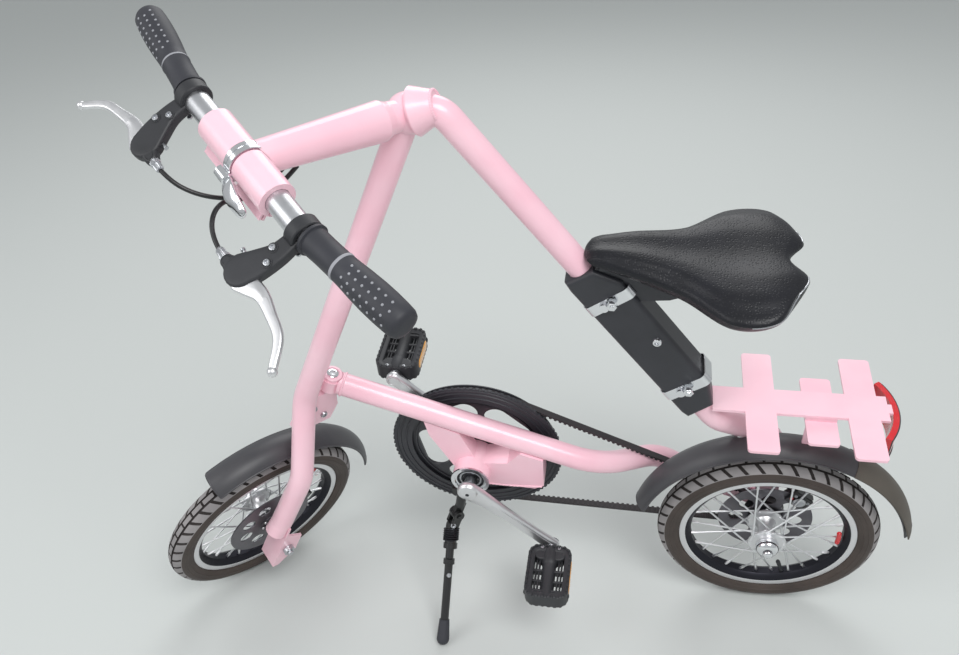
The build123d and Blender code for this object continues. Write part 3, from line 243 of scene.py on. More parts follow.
def rough_grain(tree, skin, place, size_mm, detail, depth_mm, strength):
    """Small relief: noise with features size_mm apart raises the surface by up to depth_mm."""
    grain = node(tree, "ShaderNodeTexNoise", pattern(place, size_mm, Detail=detail))
    node(tree, "ShaderNodeBump", {"Height": grain.outputs["Fac"], "Distance": depth_mm / 1000,
                                  "Strength": strength}, skin["Normal"])


print("a pattern 2.5 mm apart has the scale", pattern(None, 2.5)["Scale"])

# %% [markdown]
# The frame is powder-coated aluminium: a baked pink plastic skin with a faint orange-peel ripple some
# millimetres across. One flat colour would look like a toy. A clear gloss over a softer body, the ripple
# and a slow drift between two tones give the eye the handled paint of the real tubes.

# %% Painted frame


def powder_coat(name, base, shade, ripple_mm, roughness):
    """Colour drifts between two tones over 90 mm; height is noise with features ripple_mm apart."""
    material, tree, skin, place = finish(name, Roughness=roughness, Coat_Weight=0.35, Coat_Roughness=0.12)
    drifting_colour(tree, skin, place, 90, 3.0, [(0.35, shade), (0.65, base)])
    rough_grain(tree, skin, place, ripple_mm, 1.0, 0.05, 0.5)
    return material


pink_coat = powder_coat("powder coat pink", "#fbd0dc", "#f8c5d3", 2.5, 0.3)
black_coat = powder_coat("powder coat black", "#1b1b1c", "#151516", 2.0, 0.38)
print("painted finishes:", pink_coat.name, "and", black_coat.name)

# %% [markdown]
# Black mouldings are polypropylene or nylon with a fine spark-eroded grain, under a millimetre between
# its peaks. Drawn at 1.2 mm it still shows in a render of the whole bicycle. Rubber could have a recipe
# of its own, but it is the same one with a coarser, duller grain: the tyre's tread has worn grey with
# dust, its grooves show clean rubber painted darker still as painted shade in the recesses, its sidewall
# stays brown, the grips' thin raised ring is painted pale grey as a painted highlight on its edge, and
# the grips' dots are glossy black rubber painted pale grey as a painted highlight of their glints.

# %% Moulded plastics and rubbers


def moulded(name, base, worn, grain_mm, depth_mm, roughness):
    """Colour drifts from fresh to worn over 60 mm; height is grain of the given size and depth."""
    material, tree, skin, place = finish(name, Roughness=roughness)
    drifting_colour(tree, skin, place, 60, 4.0, [(0.3, base), (0.75, worn)])
    rough_grain(tree, skin, place, grain_mm, 2.0, depth_mm, 0.7)
    return material


satin_plastic = moulded("moulded polypropylene black", "#2b2c31", "#35363c", 1.2, 0.06, 0.42)
nylon_plastic = moulded("glass-filled nylon black", "#26272a", "#313236", 0.9, 0.05, 0.5)
guard_plastic = moulded("mudguard polypropylene", "#3f3f43", "#4b4a4d", 1.4, 0.05, 0.42)
belt_rubber = moulded("belt polyurethane black", "#242023", "#322d30", 0.8, 0.05, 0.55)
grip_rubber = moulded("grip thermoplastic rubber", "#2a2b31", "#36373e", 0.7, 0.05, 0.55)
# The thin raised ring is painted pale grey: a painted highlight along its edge.
ring_painted_highlight = moulded("grip ring grey, painted highlight", "#8f9096", "#9c9da3", 0.7, 0.04, 0.5)
# The dots are black rubber like the grip; their pale grey is a painted highlight that stands for their
# glints.
dot_painted_glint = moulded("grip dot grey, painted glint", "#8a8b91", "#999aa0", 0.7, 0.02, 0.25)
side_rubber = moulded("tyre sidewall rubber", "#3a312d", "#4a403b", 1.0, 0.06, 0.6)
# The grooves show the clean rubber under the tread's dust, painted darker still as painted shade in the
# recesses.
groove_painted_shade = moulded("tyre groove painted shade", "#2c2726", "#36302e", 1.0, 0.05, 0.75)
tread_rubber = moulded("tyre tread rubber, dusty", "#868283", "#a19d9d", 0.9, 0.1, 0.8)
flap_rubber = moulded("mud flap rubber", "#4b4640", "#5b554d", 1.4, 0.06, 0.6)
cable_cover = moulded("cable housing vinyl", "#161617", "#1e1e20", 0.8, 0.02, 0.35)
print("finishes so far:", len(bpy.data.materials))

# %% [markdown]
# Bare metals differ in how they were finished. Cast and polished alloy is bright with a soft blur,
# drawn bar is brushed along its length, and steel screws are zinc plated. Each could have a tone of its
# own, but a metal's tone is nearly the same in all of them, so blur and fine scratches in the roughness
# do most of the work.

# %% Metals


def metal(name, tone, roughness, blotch_mm, spread=0.1, dent_mm=0.0):
    """Roughness drifts about its middle value with noise of the given size; castings dent a little."""
    material, tree, skin, place = finish(name, Metallic=1.0, Base_Color=colour(tone))
    cloud = node(tree, "ShaderNodeTexNoise", pattern(place, blotch_mm, Detail=3.0))
    node(tree, "ShaderNodeMapRange",
         {"Value": cloud.outputs["Fac"], "From Min": 0.3, "From Max": 0.7,
          "To Min": roughness - spread / 2, "To Max": roughness + spread / 2}, skin["Roughness"])
    if dent_mm:
        rough_grain(tree, skin, place, 2 * blotch_mm, 0.0, dent_mm, 0.3)
    return material


cast_alloy = metal("polished cast aluminium", "#e4e4e6", 0.36, 8.0, dent_mm=0.06)
drawn_bar = metal("drawn aluminium tube", "#d4d5d8", 0.34, 3.0)
rim_alloy = metal("machined aluminium rim wall", "#e8e8ea", 0.4, 2.0)
rim_black = metal("anodised aluminium black", "#34343a", 0.42, 5.0)
spoke_steel = metal("stainless spoke wire", "#e8e9eb", 0.38, 4.0)
zinc_steel = metal("zinc-plated steel", "#c3c5c9", 0.32, 2.5)
chrome = metal("chrome plate", "#e6e7ea", 0.14, 8.0, 0.06)
rotor_steel = metal("ground brake steel", "#77757a", 0.42, 1.5)
dark_steel = metal("blued bearing steel", "#3c3c40", 0.35, 3.0)
print("finishes so far:", len(bpy.data.materials))

# %% [markdown]
# The saddle is covered in soft vinyl with small pressed dimples. Reflectors are clear coloured plastic
# over a field of small prisms, which is what makes them sparkle. Real dimples and prisms would take a
# million faces, so both are a cell pattern read as relief: its distance from a cell's middle makes a
# round pit on the vinyl, and measured along the axes it makes a square prism.

# %% Saddle cover and reflectors


def dimpled_vinyl(name, base, sheen_tone, pitch_mm):
    """Height falls in a round pit at each cell's middle, with the cells pitch_mm apart."""
    material, tree, skin, place = finish(name, Roughness=0.4, Specular_IOR_Level=0.32, Coat_Weight=0.06,
                                         Coat_Roughness=0.25)
    drifting_colour(tree, skin, place, 45, 3.0, [(0.35, base), (0.7, sheen_tone)])
    cells = node(tree, "ShaderNodeTexVoronoi", pattern(place, pitch_mm, Randomness=0.7))
    pits = node(tree, "ShaderNodeMapRange",
                {"Value": cells.outputs["Distance"], "From Min": 0.1, "From Max": 0.45})
    node(tree, "ShaderNodeBump", {"Height": pits.outputs["Result"], "Distance": 0.0003, "Strength": 0.8},
         skin["Normal"])
    return material


def lens(name, tone, prism_mm):
    """Height is a grid of square prisms of the given size under a clear skin."""
    material, tree, skin, place = finish(name, Roughness=0.14, Base_Color=colour(tone), Coat_Weight=0.6,
                                         Coat_Roughness=0.05)
    prisms = node(tree, "ShaderNodeTexVoronoi", pattern(place, prism_mm, Randomness=0.0),
                  distance="CHEBYCHEV")
    node(tree, "ShaderNodeBump", {"Height": prisms.outputs["Distance"], "Distance": 0.0008, "Strength": 0.9},
         skin["Normal"])
    return material


saddle_vinyl = dimpled_vinyl("saddle vinyl black", "#131419", "#1a1b21", 3.5)
amber_lens = lens("amber acrylic", "#f3a412", 2.5)
red_lens = lens("red acrylic", "#cf1a24", 3.0)
print("finishes in all:", len(bpy.data.materials))

# %% [markdown]
# Tubes, brackets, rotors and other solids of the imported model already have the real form, so they stay
# and only get their finish. One short table says which piece is made of what.

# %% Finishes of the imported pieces
FINISHES = {
    pink_coat: ["main_tube", "bottom_tube", "crank_housing", "front_tube", "front_lug", "fork_bracket",
                "handlebar_clamp", "rack"],
    black_coat: ["rear_caliper", "front_caliper", "stand_bracket", "stand_leg"],
    satin_plastic: ["saddle_moulding", "saddle_base", "rear_cog", "chainring"],
    nylon_plastic: ["left_pedal", "right_pedal", "left_lever_body", "right_lever_body"],
    guard_plastic: ["rear_mudguard", "front_mudguard"],
    belt_rubber: ["belt"],
    grip_rubber: ["left_grip", "right_grip", "stand_foot"],
    side_rubber: ["rear_tyre", "front_tyre"],
    cast_alloy: ["left_crank", "right_crank", "left_brake_lever", "right_brake_lever", "rear_hub",
                 "front_hub", "left_cable_adjuster", "right_cable_adjuster"],
    drawn_bar: ["handlebar"],
    rim_black: ["rear_rim", "front_rim"],
    zinc_steel: ["rear_axle", "front_axle", "ball_stud", "crank_spindle", "left_pedal_axle",
                 "right_pedal_axle"],
    chrome: ["clamp_lever", "left_bearing_ring", "right_bearing_ring", "upper_band", "lower_band"],
    rotor_steel: ["rear_rotor", "front_rotor"],
    saddle_vinyl: ["saddle"],
    amber_lens: ["left_pedal_reflectors", "right_pedal_reflectors"],
    red_lens: ["rear_reflector"],
    cable_cover: ["left_cable", "right_cable"],
}
for material, names in FINISHES.items():
    for name in names:
        item = frame["nodes"][name]
        item.data.materials.clear()
        item.data.materials.append(material)
print("finished", sum(len(names) for names in FINISHES.values()), "of", len(frame["nodes"]), "packed pieces")

# %% [markdown]
# Two thin brake cables in vinyl housings leave the adjusters of the brake levers, swing back in short
# bows and go in under the stem. A chain of straight pieces would show its corners, so each cable is one
# smooth spline through the bends of its real route, with a round section.

# %% Brake cables
CABLE_DIAMETER = 0.005
CABLE_START = [737.6, 61.6, 889.0]
CABLE_END = [619.0, 6.0, 877.8]
# Columns: side, length in metres, bends in mm on the straight fork
CABLES = {
    "left": (1, 0.161, [(736, 46, 893), (724, 28, 899), (706, 15, 893), (688, 9, 876), (666, 7, 864),
                        (645, 7, 862)]),
    "right": (-1, 0.158, [(735, -46, 884), (723, -30, 874), (706, -19, 864), (687, -13, 856),
                          (666, -10, 853), (646, -9, 857)]),
}
for name, (side, length, bends) in CABLES.items():
    mirrored = np.array([1, side, 1])
    route = on_fork([CABLE_START * mirrored, *bends, CABLE_END * mirrored])
    line = bpy.data.curves.new(f"{name}_brake_cable", "CURVE")
    line.dimensions = "3D"
    spline = line.splines.new("NURBS")
    spline.points.add(len(route) - 1)
    spline.points.foreach_set("co", np.column_stack([route, np.ones(len(route))]).ravel())
    spline.order_u = 3
    spline.use_endpoint_u = True
    spline.resolution_u = 10
    line.bevel_depth = CABLE_DIAMETER / 2
    line.bevel_resolution = 3
    line.use_fill_caps = True
    line.materials.append(cable_cover)
    cable = in_scene(f"{name}_brake_cable", line)
    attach(cable, "front_fork")
    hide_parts(f"{name}_cable")
    print(name, "brake cable of", length, "m")

# %% [markdown]
# A surface is a grid of points, and four neighbours on it share a face. Blender's own primitives and
# modifiers could give simple forms, but a grid takes any formula. One class gathers grids into a mesh:
# its columns always go all the way round, its rows may too, and an open end gets one closing face.

# %% Grids of points


class Shape:
    """Points in mm and faces of one or more surfaces, gathered before they become one mesh."""

    def __init__(self):
        self.points, self.faces, self.marks, self.count = [], [], [], 0

    def add(self, grid, mark=0, closed=False, caps=True):
        """A grid of points; its last row joins its first when closed, and else its two ends get caps.
        Mark is the number of its material, one for all or one for each row of faces."""
        rows, columns = grid.shape[:2]
        i = np.arange(rows if closed else rows - 1)[:, None]
        j = np.arange(columns)[None, :]
        down, right = (i + 1) % rows, (j + 1) % columns
        corners = [i * columns + j, down * columns + j, down * columns + right, i * columns + right]
        faces = np.stack(np.broadcast_arrays(*corners), axis=-1).reshape(-1, 4) + self.count
        marks = np.broadcast_to(np.asarray(mark), (len(i),))
        self.faces += faces.tolist()
        self.marks += np.repeat(marks, columns).tolist()
        if caps and not closed:
            first_row = np.arange(columns) + self.count
            self.faces += [first_row[::-1].tolist(), (first_row + (rows - 1) * columns).tolist()]
            self.marks += [int(marks[0]), int(marks[-1])]
        self.points.append(grid.reshape(-1, 3))
        self.count += rows * columns
        return self


closed_faces = Shape().add(np.zeros((3, 4, 3)), closed=True).faces
print("a closed grid of 3 rows and 4 columns has", len(closed_faces), "faces")

# %% [markdown]
# A shape becomes a piece of the bicycle here. Its points could stay in millimetres under a scaled
# object, but a finished piece sits unscaled at the origin, so its points are placed in metres first.
# Doubled points are merged, faces turned outwards and edges sharper than an angle kept crisp. Then it
# is told which body carries it, which materials it wears and which imported pieces it replaces.

# %% From a shape to a piece


def piece(name, shape, place, body, materials, replaces=(), smooth=40):
    """A mesh object from a shape, placed by one of the place functions, riding on its body."""
    mesh = bpy.data.meshes.new(name)
    mesh.from_pydata(place(np.concatenate(shape.points)).tolist(), [], shape.faces)
    mesh.polygons.foreach_set("material_index", np.array(shape.marks, np.int32))
    build = bmesh.new()
    build.from_mesh(mesh)
    bmesh.ops.remove_doubles(build, verts=build.verts, dist=2e-6)
    bmesh.ops.recalc_face_normals(build, faces=build.faces)
    build.to_mesh(mesh)
    build.free()
    mesh.shade_smooth()
    mesh.set_sharp_from_angle(angle=np.radians(smooth))
    for material in materials:
        mesh.materials.append(material)
    item = in_scene(name, mesh)
    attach(item, body)
    if replaces:
        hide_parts(*replaces)
    print(f"{name}: {len(mesh.vertices)} points, {len(mesh.polygons)} faces")
    return item


# %% [markdown]
# Wheels, hubs, cranks and mudguards are all measured by an angle and a distance about an axle. Sines and
# cosines could be written out for each, but one function names the idea: a point, or a whole grid of
# points, about the y axis.

# %% Points about an axle


def around(angle, radius=1.0, y=0.0):
    """Points about the y axis: (radius cos t, y, radius sin t)."""
    points = radius * np.cos(angle), y, radius * np.sin(angle)
    return np.stack(np.broadcast_arrays(*points), axis=-1)


print("a point 10 mm from an axle, at 90 degrees:", around(np.pi / 2, 10.0).round(3))

# %% [markdown]
# A tyre is a ring of round section. Its tread is cut by two ring grooves and by slanted shoulder grooves.
# The grooves could be cut by many small blocks, but that leaves slivers. Instead the grid leans with the
# grooves: each column of points is shifted round the wheel as it goes outwards, so every groove has
# crisp walls with few points. The sidewall keeps two fine moulded rings.

# %% Tyres
TYRE_SECTION = 20.0
RIM_SEAT = 130.3
TREAD_REPEATS = 42
TREAD_COLUMNS = 12
GROOVE_DEPTH = 2.4
GROOVE_SLANT = 0.7
GROOVE_STARTS = 6.0
SLANT_REACH = 16.0
RING_HEIGHT = 0.5
TREAD_HALF = 22.0
# Where grooves and moulded rings lie, in mm from the tyre's middle
RING_GROOVE = (4.0, 6.6)
SHOULDER_GROOVE = (6.8, 20.8)
MOULDED_RINGS = ((28.8, 30.2), (35.8, 37.2))
# Places of the grid's points across the tyre, in mm from its middle: close where a groove or ring begins
TYRE_PLACES = [0, 2.2, 3.6, 4.1, 6.5, 7.0, 9, 11.5, 14, 16.5, 19, 20.4, 21.0, TREAD_HALF, 24, 26.5, 28.6,
               29, 30, 30.4, 33, 35.6, 36, 37, 37.4, 40, 42.6]


def within(u, limits):
    """True where a value lies between two limits."""
    return (u > limits[0]) & (u < limits[1])


def tyre_grid():
    """Turn t round the wheel and distance u across the tread, measured along the section: the radius is
    ring + (section - depth) cos(u / section), and t leans by slant times u past the middle grooves."""
    ring = WHEEL_RADIUS - TYRE_SECTION
    widest = np.arccos((RIM_SEAT - ring) / TYRE_SECTION) * TYRE_SECTION
    half = TYRE_PLACES + [widest]
    across = np.array([-u for u in half[:0:-1]] + half)[None, :]
    column = np.arange(TREAD_COLUMNS * TREAD_REPEATS)[:, None]
    u = np.abs(across)
    step = column % TREAD_COLUMNS
    grooves = within(u, RING_GROOVE) | (within(u, SHOULDER_GROOVE) & (step < 2))
    grooves |= (u < RING_GROOVE[0]) & (step == TREAD_COLUMNS / 2)
    rings = within(u, MOULDED_RINGS[0]) | within(u, MOULDED_RINGS[1])
    section = TYRE_SECTION - GROOVE_DEPTH * grooves + RING_HEIGHT * rings
    turn = 2 * np.pi * column / (TREAD_COLUMNS * TREAD_REPEATS)
    turn = turn + GROOVE_SLANT * np.clip(u - GROOVE_STARTS, 0, SLANT_REACH) / WHEEL_RADIUS
    radius = ring + section * np.cos(across / TYRE_SECTION)
    points = around(turn, radius, section * np.sin(across / TYRE_SECTION))
    # Grooves and the faces beside them get mark 2, the groove rubber that is painted dark as painted shade
    # in the recesses.
    low = grooves | np.roll(grooves, -1, axis=0)
    low = low | np.roll(low, -1, axis=1)
    middle = (across[0] + np.roll(across[0], -1)) / 2
    tread = (np.abs(middle) < TREAD_HALF) & (np.arange(across.size) < across.size - 1)
    return points, np.where(tread, np.where(low, 2, 1), 0)


tyre_points, tyre_marks = tyre_grid()
for name, place in WHEELS:
    tyre = Shape().add(tyre_points, closed=True)
    tyre.marks = tyre_marks.ravel().tolist()
    piece(f"{name}_treaded_tyre", tyre, place, f"{name}_wheel", [side_rubber, tread_rubber, groove_painted_shade],
          [f"{name}_tyre"], smooth=35)

# %% [markdown]
# The rim is an extrusion bent into a hoop: black anodised, with its two side walls machined bright. It
# could be a stack of discs, but a lathe does it in one: a closed profile is turned about the axle, and
# the bright faces are those of the walls. The same lathe will make hubs, knobs, nuts and bolt heads.

# %% Rims
# Columns: radius, distance from the wheel's middle plane
RIM_HALF = np.array([(129.6, 12.0), (130.0, 12.6), (130.0, 13.5), (129.4, 14.0), (121.4, 14.0),
                     (120.8, 13.4), (119.6, 12.9), (113.2, 7.2), (112.0, 5.4)])
WALL_FOOT = 120.9
WALL_SIDE = 12.2


def lathe(shape, profile, centre=(0, 0, 0), axis=(0, 1, 0), sides=64, mark=0, closed=False, relief=0.0):
    """Adds a profile of (radius, along) turned about an axis: centre + along axis + (radius + relief)
    (cos t start + sin t other), where start and other are square to the axis and to each other."""
    profile, axis = np.asarray(profile, float), unit(axis)
    start = np.array([1.0, 0, 0] if abs(axis[0]) < 0.9 else [0, 0, 1.0])
    start = unit(start - (start @ axis) * axis)
    angle = np.linspace(0, 2 * np.pi, sides, endpoint=False)[None, :, None]
    radius = (profile[:, :1] + relief + np.zeros((1, sides)))[..., None]
    circle = np.cos(angle) * start + np.sin(angle) * np.cross(axis, start)
    middle = np.asarray(centre, float) + profile[:, 1][:, None, None] * axis
    return shape.add(middle + radius * circle, mark, closed)


rim_profile = np.concatenate([RIM_HALF, RIM_HALF[::-1] * [1, -1]])
between = (rim_profile + np.roll(rim_profile, -1, axis=0)) / 2
bright = ((between[:, 0] > WALL_FOOT) & (np.abs(between[:, 1]) > WALL_SIDE)).astype(int)
for name, place in WHEELS:
    hoop = lathe(Shape(), rim_profile, sides=240, mark=bright, closed=True)
    piece(f"{name}_rim_hoop", hoop, place, f"{name}_wheel", [rim_black, rim_alloy],
          [f"{name}_rim"], 30)

# %% [markdown]
# Spokes, springs, piping, lips and weld beads are all round in section and differ only in their path. A
# curve with a bevel could give them too, but not with a thickness that changes as a formula says, so a
# section is carried along the path here. It must not twist: at each point its two directions are turned
# by the least that they need from those of the point before.

# %% Sections swept along a path


def sweep(shape, path, radius, sides=8, mark=0, closed=False):
    """Adds a round section carried along a path: path + radius (cos t first + sin t second), where the
    two directions turn from point to point by the least that they need."""
    path = np.asarray(path, float)
    ahead = np.roll(path, -1, axis=0) - np.roll(path, 1, axis=0)
    if not closed:
        ahead[0], ahead[-1] = path[1] - path[0], path[-1] - path[-2]
    ahead = unit(ahead)
    side = np.cross(ahead[0], [0.0, 0.0, 1.0])
    if np.linalg.norm(side) < 0.1:
        side = np.cross(ahead[0], [0.0, 1.0, 0.0])
    first = []
    for direction in ahead:
        side = unit(side - (side @ direction) * direction)
        first.append(side)
    first = np.array(first)[:, None, :]
    second = np.cross(ahead, first[:, 0])[:, None, :]
    angle = np.linspace(0, 2 * np.pi, sides, endpoint=False)[None, :, None]
    radius = np.broadcast_to(np.asarray(radius, float), (len(path),))[:, None, None]
    circle = np.cos(angle) * first + np.sin(angle) * second
    return shape.add(path[:, None, :] + radius * circle, mark, closed)


ring_path = around(np.linspace(0, 2 * np.pi, 24, endpoint=False), 50.0)
print("a swept ring of 24 points has", len(sweep(Shape(), ring_path, 2.0, closed=True).faces), "faces")

# %% [markdown]
# Fourteen wires leave each hub flange, half of them leading and half trailing, so that they cross. Each
# has a head, an elbow through the flange and a nipple at the rim. Straight cylinders would miss the
# elbows, so each wire is a round section swept along five points, and a loop places them.

# %% Spokes
SPOKES_PER_FLANGE = 14
SPOKE_SWEEP = 2 * 2 * np.pi / SPOKES_PER_FLANGE
SPOKE_RADIUS = 1.45
HEAD_RADIUS = 2.4
HOOK_CIRCLE = 24.5
HOOK_REACH = (-3.4, -2.2, 2.0)
ELBOW_LENGTH = 2.5
NIPPLE_END = 112.4
NIPPLE = [(2.3, 0), (2.3, 10.0), (1.8, 11.5)]
# Columns: the flange's distance from the wheel's middle plane, shift of its holes in shares of their step
FLANGES = [(25.0, 0.0), (-14.0, 0.5)]


def spoke_line(flange_y, phase, i):
    """Head, neck, elbow, bend and end of a wire, from the flange's hole to the rim's bed."""
    side = 1 if i % 2 else -1
    hub_turn = 2 * np.pi * (i + phase) / SPOKES_PER_FLANGE
    hook = around(hub_turn, HOOK_CIRCLE)
    end = around(hub_turn + side * SPOKE_SWEEP, NIPPLE_END, side * 1.5)
    head, neck, elbow = (hook + [0, flange_y + side * reach, 0] for reach in HOOK_REACH)
    bend = elbow + ELBOW_LENGTH * unit(end - elbow) + [0, side * 0.4, 0]
    return [head, neck, elbow, bend, end]


for name, place in WHEELS:
    wires = Shape()
    for flange_y, phase in FLANGES:
        for i in range(SPOKES_PER_FLANGE):
            line = spoke_line(flange_y, phase, i)
            sweep(wires, line, [HEAD_RADIUS] + 4 * [SPOKE_RADIUS], 10)
            lathe(wires, NIPPLE, line[4], line[3] - line[4], 10, mark=1)
    piece(f"{name}_spokes", wires, place, f"{name}_wheel", [spoke_steel, cast_alloy],
          [f"{name}_hub"])

# %% [markdown]
# The hub is cast and turned alloy: two flanges on a waisted barrel, with a polished domed cap over the
# bearing. Cut from a cylinder it would need a tool for every groove, so its profile is drawn once as a
# closed loop round the axle's bore. Bolt heads hold the rotor, and each spoke hole has a raised eyelet.

# %% Hubs
# Columns: radius, distance along the axle
HUB_PROFILE = [(26.0, 27.2), (27.6, 26.2), (27.6, 23.8), (26.0, 22.8), (16.5, 22.0), (13.2, 18.0),
               (12.0, 9.0), (12.0, 2.0), (13.2, -6.0), (16.5, -11.0), (26.0, -11.8), (27.6, -12.8),
               (27.6, -14.8), (26.0, -15.5), (12.0, -15.5), (12.0, -18.0), (5.4, -18.0)]
CAP_PROFILE = [(5.4, -0.2), (9.0, -0.6), (12.5, -2.0), (15.0, -4.4), (16.4, -7.0), (16.9, -10.0),
               (16.9, -15.0)]
CAP_FOOT = (15.8, 27.6)
CAP_END = {"rear": 45.0, "front": 43.0}
EYELET = [(2.9, 0.0), (2.9, 0.5), (1.7, 0.5), (1.7, 0.0)]
EYELET_FACE = 27.0
ROTOR_BOLTS = 6
ROTOR_BOLT_CIRCLE = 15.0
ROTOR_BOLT_FACE = -24.6
SOCKET_HEAD = np.array([(1, 0), (1, 0.45), (0.86, 0.68), (0.55, 0.72), (0.48, 0.3), (0.02, 0.28)])
DOME_HEAD = np.array([(1, 0), (1, 0.2), (0.9, 0.48), (0.65, 0.68), (0.35, 0.78), (0.02, 0.8)])
NUT_HEAD = np.array([(1, 0), (1, 0.7), (0.88, 0.82), (0.5, 0.84), (0.46, 1.1), (0.02, 1.14)])


def fastener(shape, centre, axis, radius, form=SOCKET_HEAD, sides=20, mark=0):
    """Adds a bolt head or nut: its form, in shares of its radius, turned about its axis."""
    return lathe(shape, form * radius, centre, axis, sides, mark)


for name, place in WHEELS:
    profile = [(radius, CAP_END[name] + along) for radius, along in CAP_PROFILE] + [CAP_FOOT] + HUB_PROFILE
    polished = (np.arange(len(profile)) < len(CAP_PROFILE) - 1).astype(int)
    hub = lathe(Shape(), profile, sides=96, mark=polished, closed=True)
    for i in range(ROTOR_BOLTS):
        bolt_at = around(2 * np.pi * i / ROTOR_BOLTS, ROTOR_BOLT_CIRCLE, ROTOR_BOLT_FACE)
        fastener(hub, bolt_at, [0, -1, 0], 2.6)
    for i in range(SPOKES_PER_FLANGE):
        hole = around(2 * np.pi * (i + 0.5) / SPOKES_PER_FLANGE, HOOK_CIRCLE, EYELET_FACE)
        lathe(hub, EYELET, hole, sides=12, closed=True)
    piece(f"{name}_hub_casting", hub, place, f"{name}_wheel", [cast_alloy, chrome],
          [f"{name}_hub"])

# %% [markdown]
# A tyre valve stands inwards from the rim: a rubber stem with a ridged cap. Its steps are too small for
# a subdivided cylinder to keep, so it is one more profile on the lathe.

# %% Valves
VALVE = [(3.6, 0), (3.4, 3), (2.9, 6), (2.9, 15), (3.4, 15.5), (3.4, 24), (2.8, 25.5), (0.3, 26)]
VALVE_TURN = np.radians(250.0)
for name, place in WHEELS:
    inwards = -around(VALVE_TURN)
    valve = lathe(Shape(), VALVE, -NIPPLE_END * inwards, inwards, 16)
    piece(f"{name}_valve", valve, place, f"{name}_wheel", [nylon_plastic])

# %% [markdown]
# Many forms to come follow a curve: the saddle's outline, lever blades, cranks and seams. A curve could
# be typed point by point, but here only a few points are listed, and a smooth cubic between each two fills
# the line. It also takes whole rows of points, such as sections.

# %% Smooth lines


def smooth_line(points, count):
    """A smooth line through a few points: cubics whose slope at each point is half its neighbours' step.
    The count is a number of even steps, or the places themselves, counted in points from the first."""
    points = np.asarray(points, float)
    slopes = np.gradient(points, axis=0)
    t = np.linspace(0, len(points) - 1, count) if np.ndim(count) == 0 else np.asarray(count)
    i = np.minimum(t.astype(int), len(points) - 2)
    u = (t - i).reshape(-1, *[1] * (points.ndim - 1))
    near = points[i] * (1 + 2 * u) * (1 - u) ** 2 + slopes[i] * u * (1 - u) ** 2
    return near + points[i + 1] * u ** 2 * (3 - 2 * u) - slopes[i + 1] * u ** 2 * (1 - u)


print("five places on a smooth line through 0, 1, 0:", smooth_line([0, 1, 0], 5).round(3))

# %% [markdown]
# A red reflector is clipped to the spokes of each wheel. It bends with the wheel, which a box can't. It
# is the first of many flat bars with rounded edges: a middle line, half widths along it and a thickness.
# A bevelled curve would be round or square all over, while these real pieces are flat with soft edges.

# %% Wheel reflectors
CLIP_TURNS = np.radians([172.0, 178.0, 184.0])
CLIP_CIRCLE = 105.0
CLIP_SIDE = 8.0


def bar(shape, line, widths, thickness, rounding, normal, crown=0.0, turns=12):
    """Adds a flat bar round its middle line: an outline a half width away with half circles at its ends,
    faces at half the thickness, and an edge rounded by a quarter circle: out by sin q, down by 1 - cos q.
    Crown raises the middle line above the faces."""
    line = np.asarray(line, float)
    count = len(line)
    widths = np.broadcast_to(np.asarray(widths, float), (count,))
    half = np.broadcast_to(np.asarray(thickness, float) / 2, (count,))
    ahead = unit(np.gradient(line, axis=0))
    side = unit(np.cross(normal, ahead))
    cap = np.linspace(0, np.pi, turns)[1:-1, None]
    outline = np.concatenate([side, np.cos(cap) * side[-1] + np.sin(cap) * ahead[-1], -side[::-1],
                              -np.cos(cap) * side[0] - np.sin(cap) * ahead[0]])
    there, back = np.arange(count), np.full(turns - 2, count - 1)
    order = np.concatenate([there, back, there[::-1], 0 * back])
    # Columns: share of the half width, share of the crown, inwards and down in shares of the rounding
    rows = [(0.0, 1.0, 0.0, 0.0), (0.55, 0.7, 0.0, 0.0)]
    rows += [(1.0, 0.0, 1 - np.sin(q), 1 - np.cos(q)) for q in np.linspace(0, np.pi / 2, 5)]
    out, lift, inset, drop = np.array(rows).T[:, :, None]
    width = widths[order][None, :]
    edge = np.minimum(rounding, np.minimum(width, half[order][None, :]) * 0.98)
    reach = out * (width - edge * (out == 1) * inset)
    height = (half[order][None, :] + crown * lift - edge * drop)[..., None] * unit(normal)
    middle = line[order][None] + reach[..., None] * outline[None]
    return shape.add(np.concatenate([middle + height, (middle - height)[::-1]]), caps=False)


for name, place in WHEELS:
    clip = smooth_line(around(CLIP_TURNS, CLIP_CIRCLE, CLIP_SIDE), 7)
    reflector = bar(Shape(), clip, 3.6, 4.0, 1.4, [0, 1, 0], 0.8)
    piece(f"{name}_wheel_reflector", reflector, place, f"{name}_wheel", [red_lens])

# %% [markdown]
# The saddle is a soft pad on a hard pan: broad at the tail with a notch, narrow at the nose. It could be
# inflated as cloth, but foam under vinyl keeps a moulded form. So it is measured as a boat builder does:
# six stations along its length give the widths and heights, and one section is drawn from the crown out
# over the side, under the skirt and back beneath.

# %% The saddle's stations and section
# Columns: x, half width, height of the edge, height of the crown, depth of the skirt
SADDLE_STATIONS = [(22, 62, 684, 690, 14), (60, 104, 680, 693, 24), (110, 107, 676, 691, 26),
                   (165, 62, 677, 692, 22), (225, 39, 684, 697, 17), (275, 23, 686, 694, 9)]
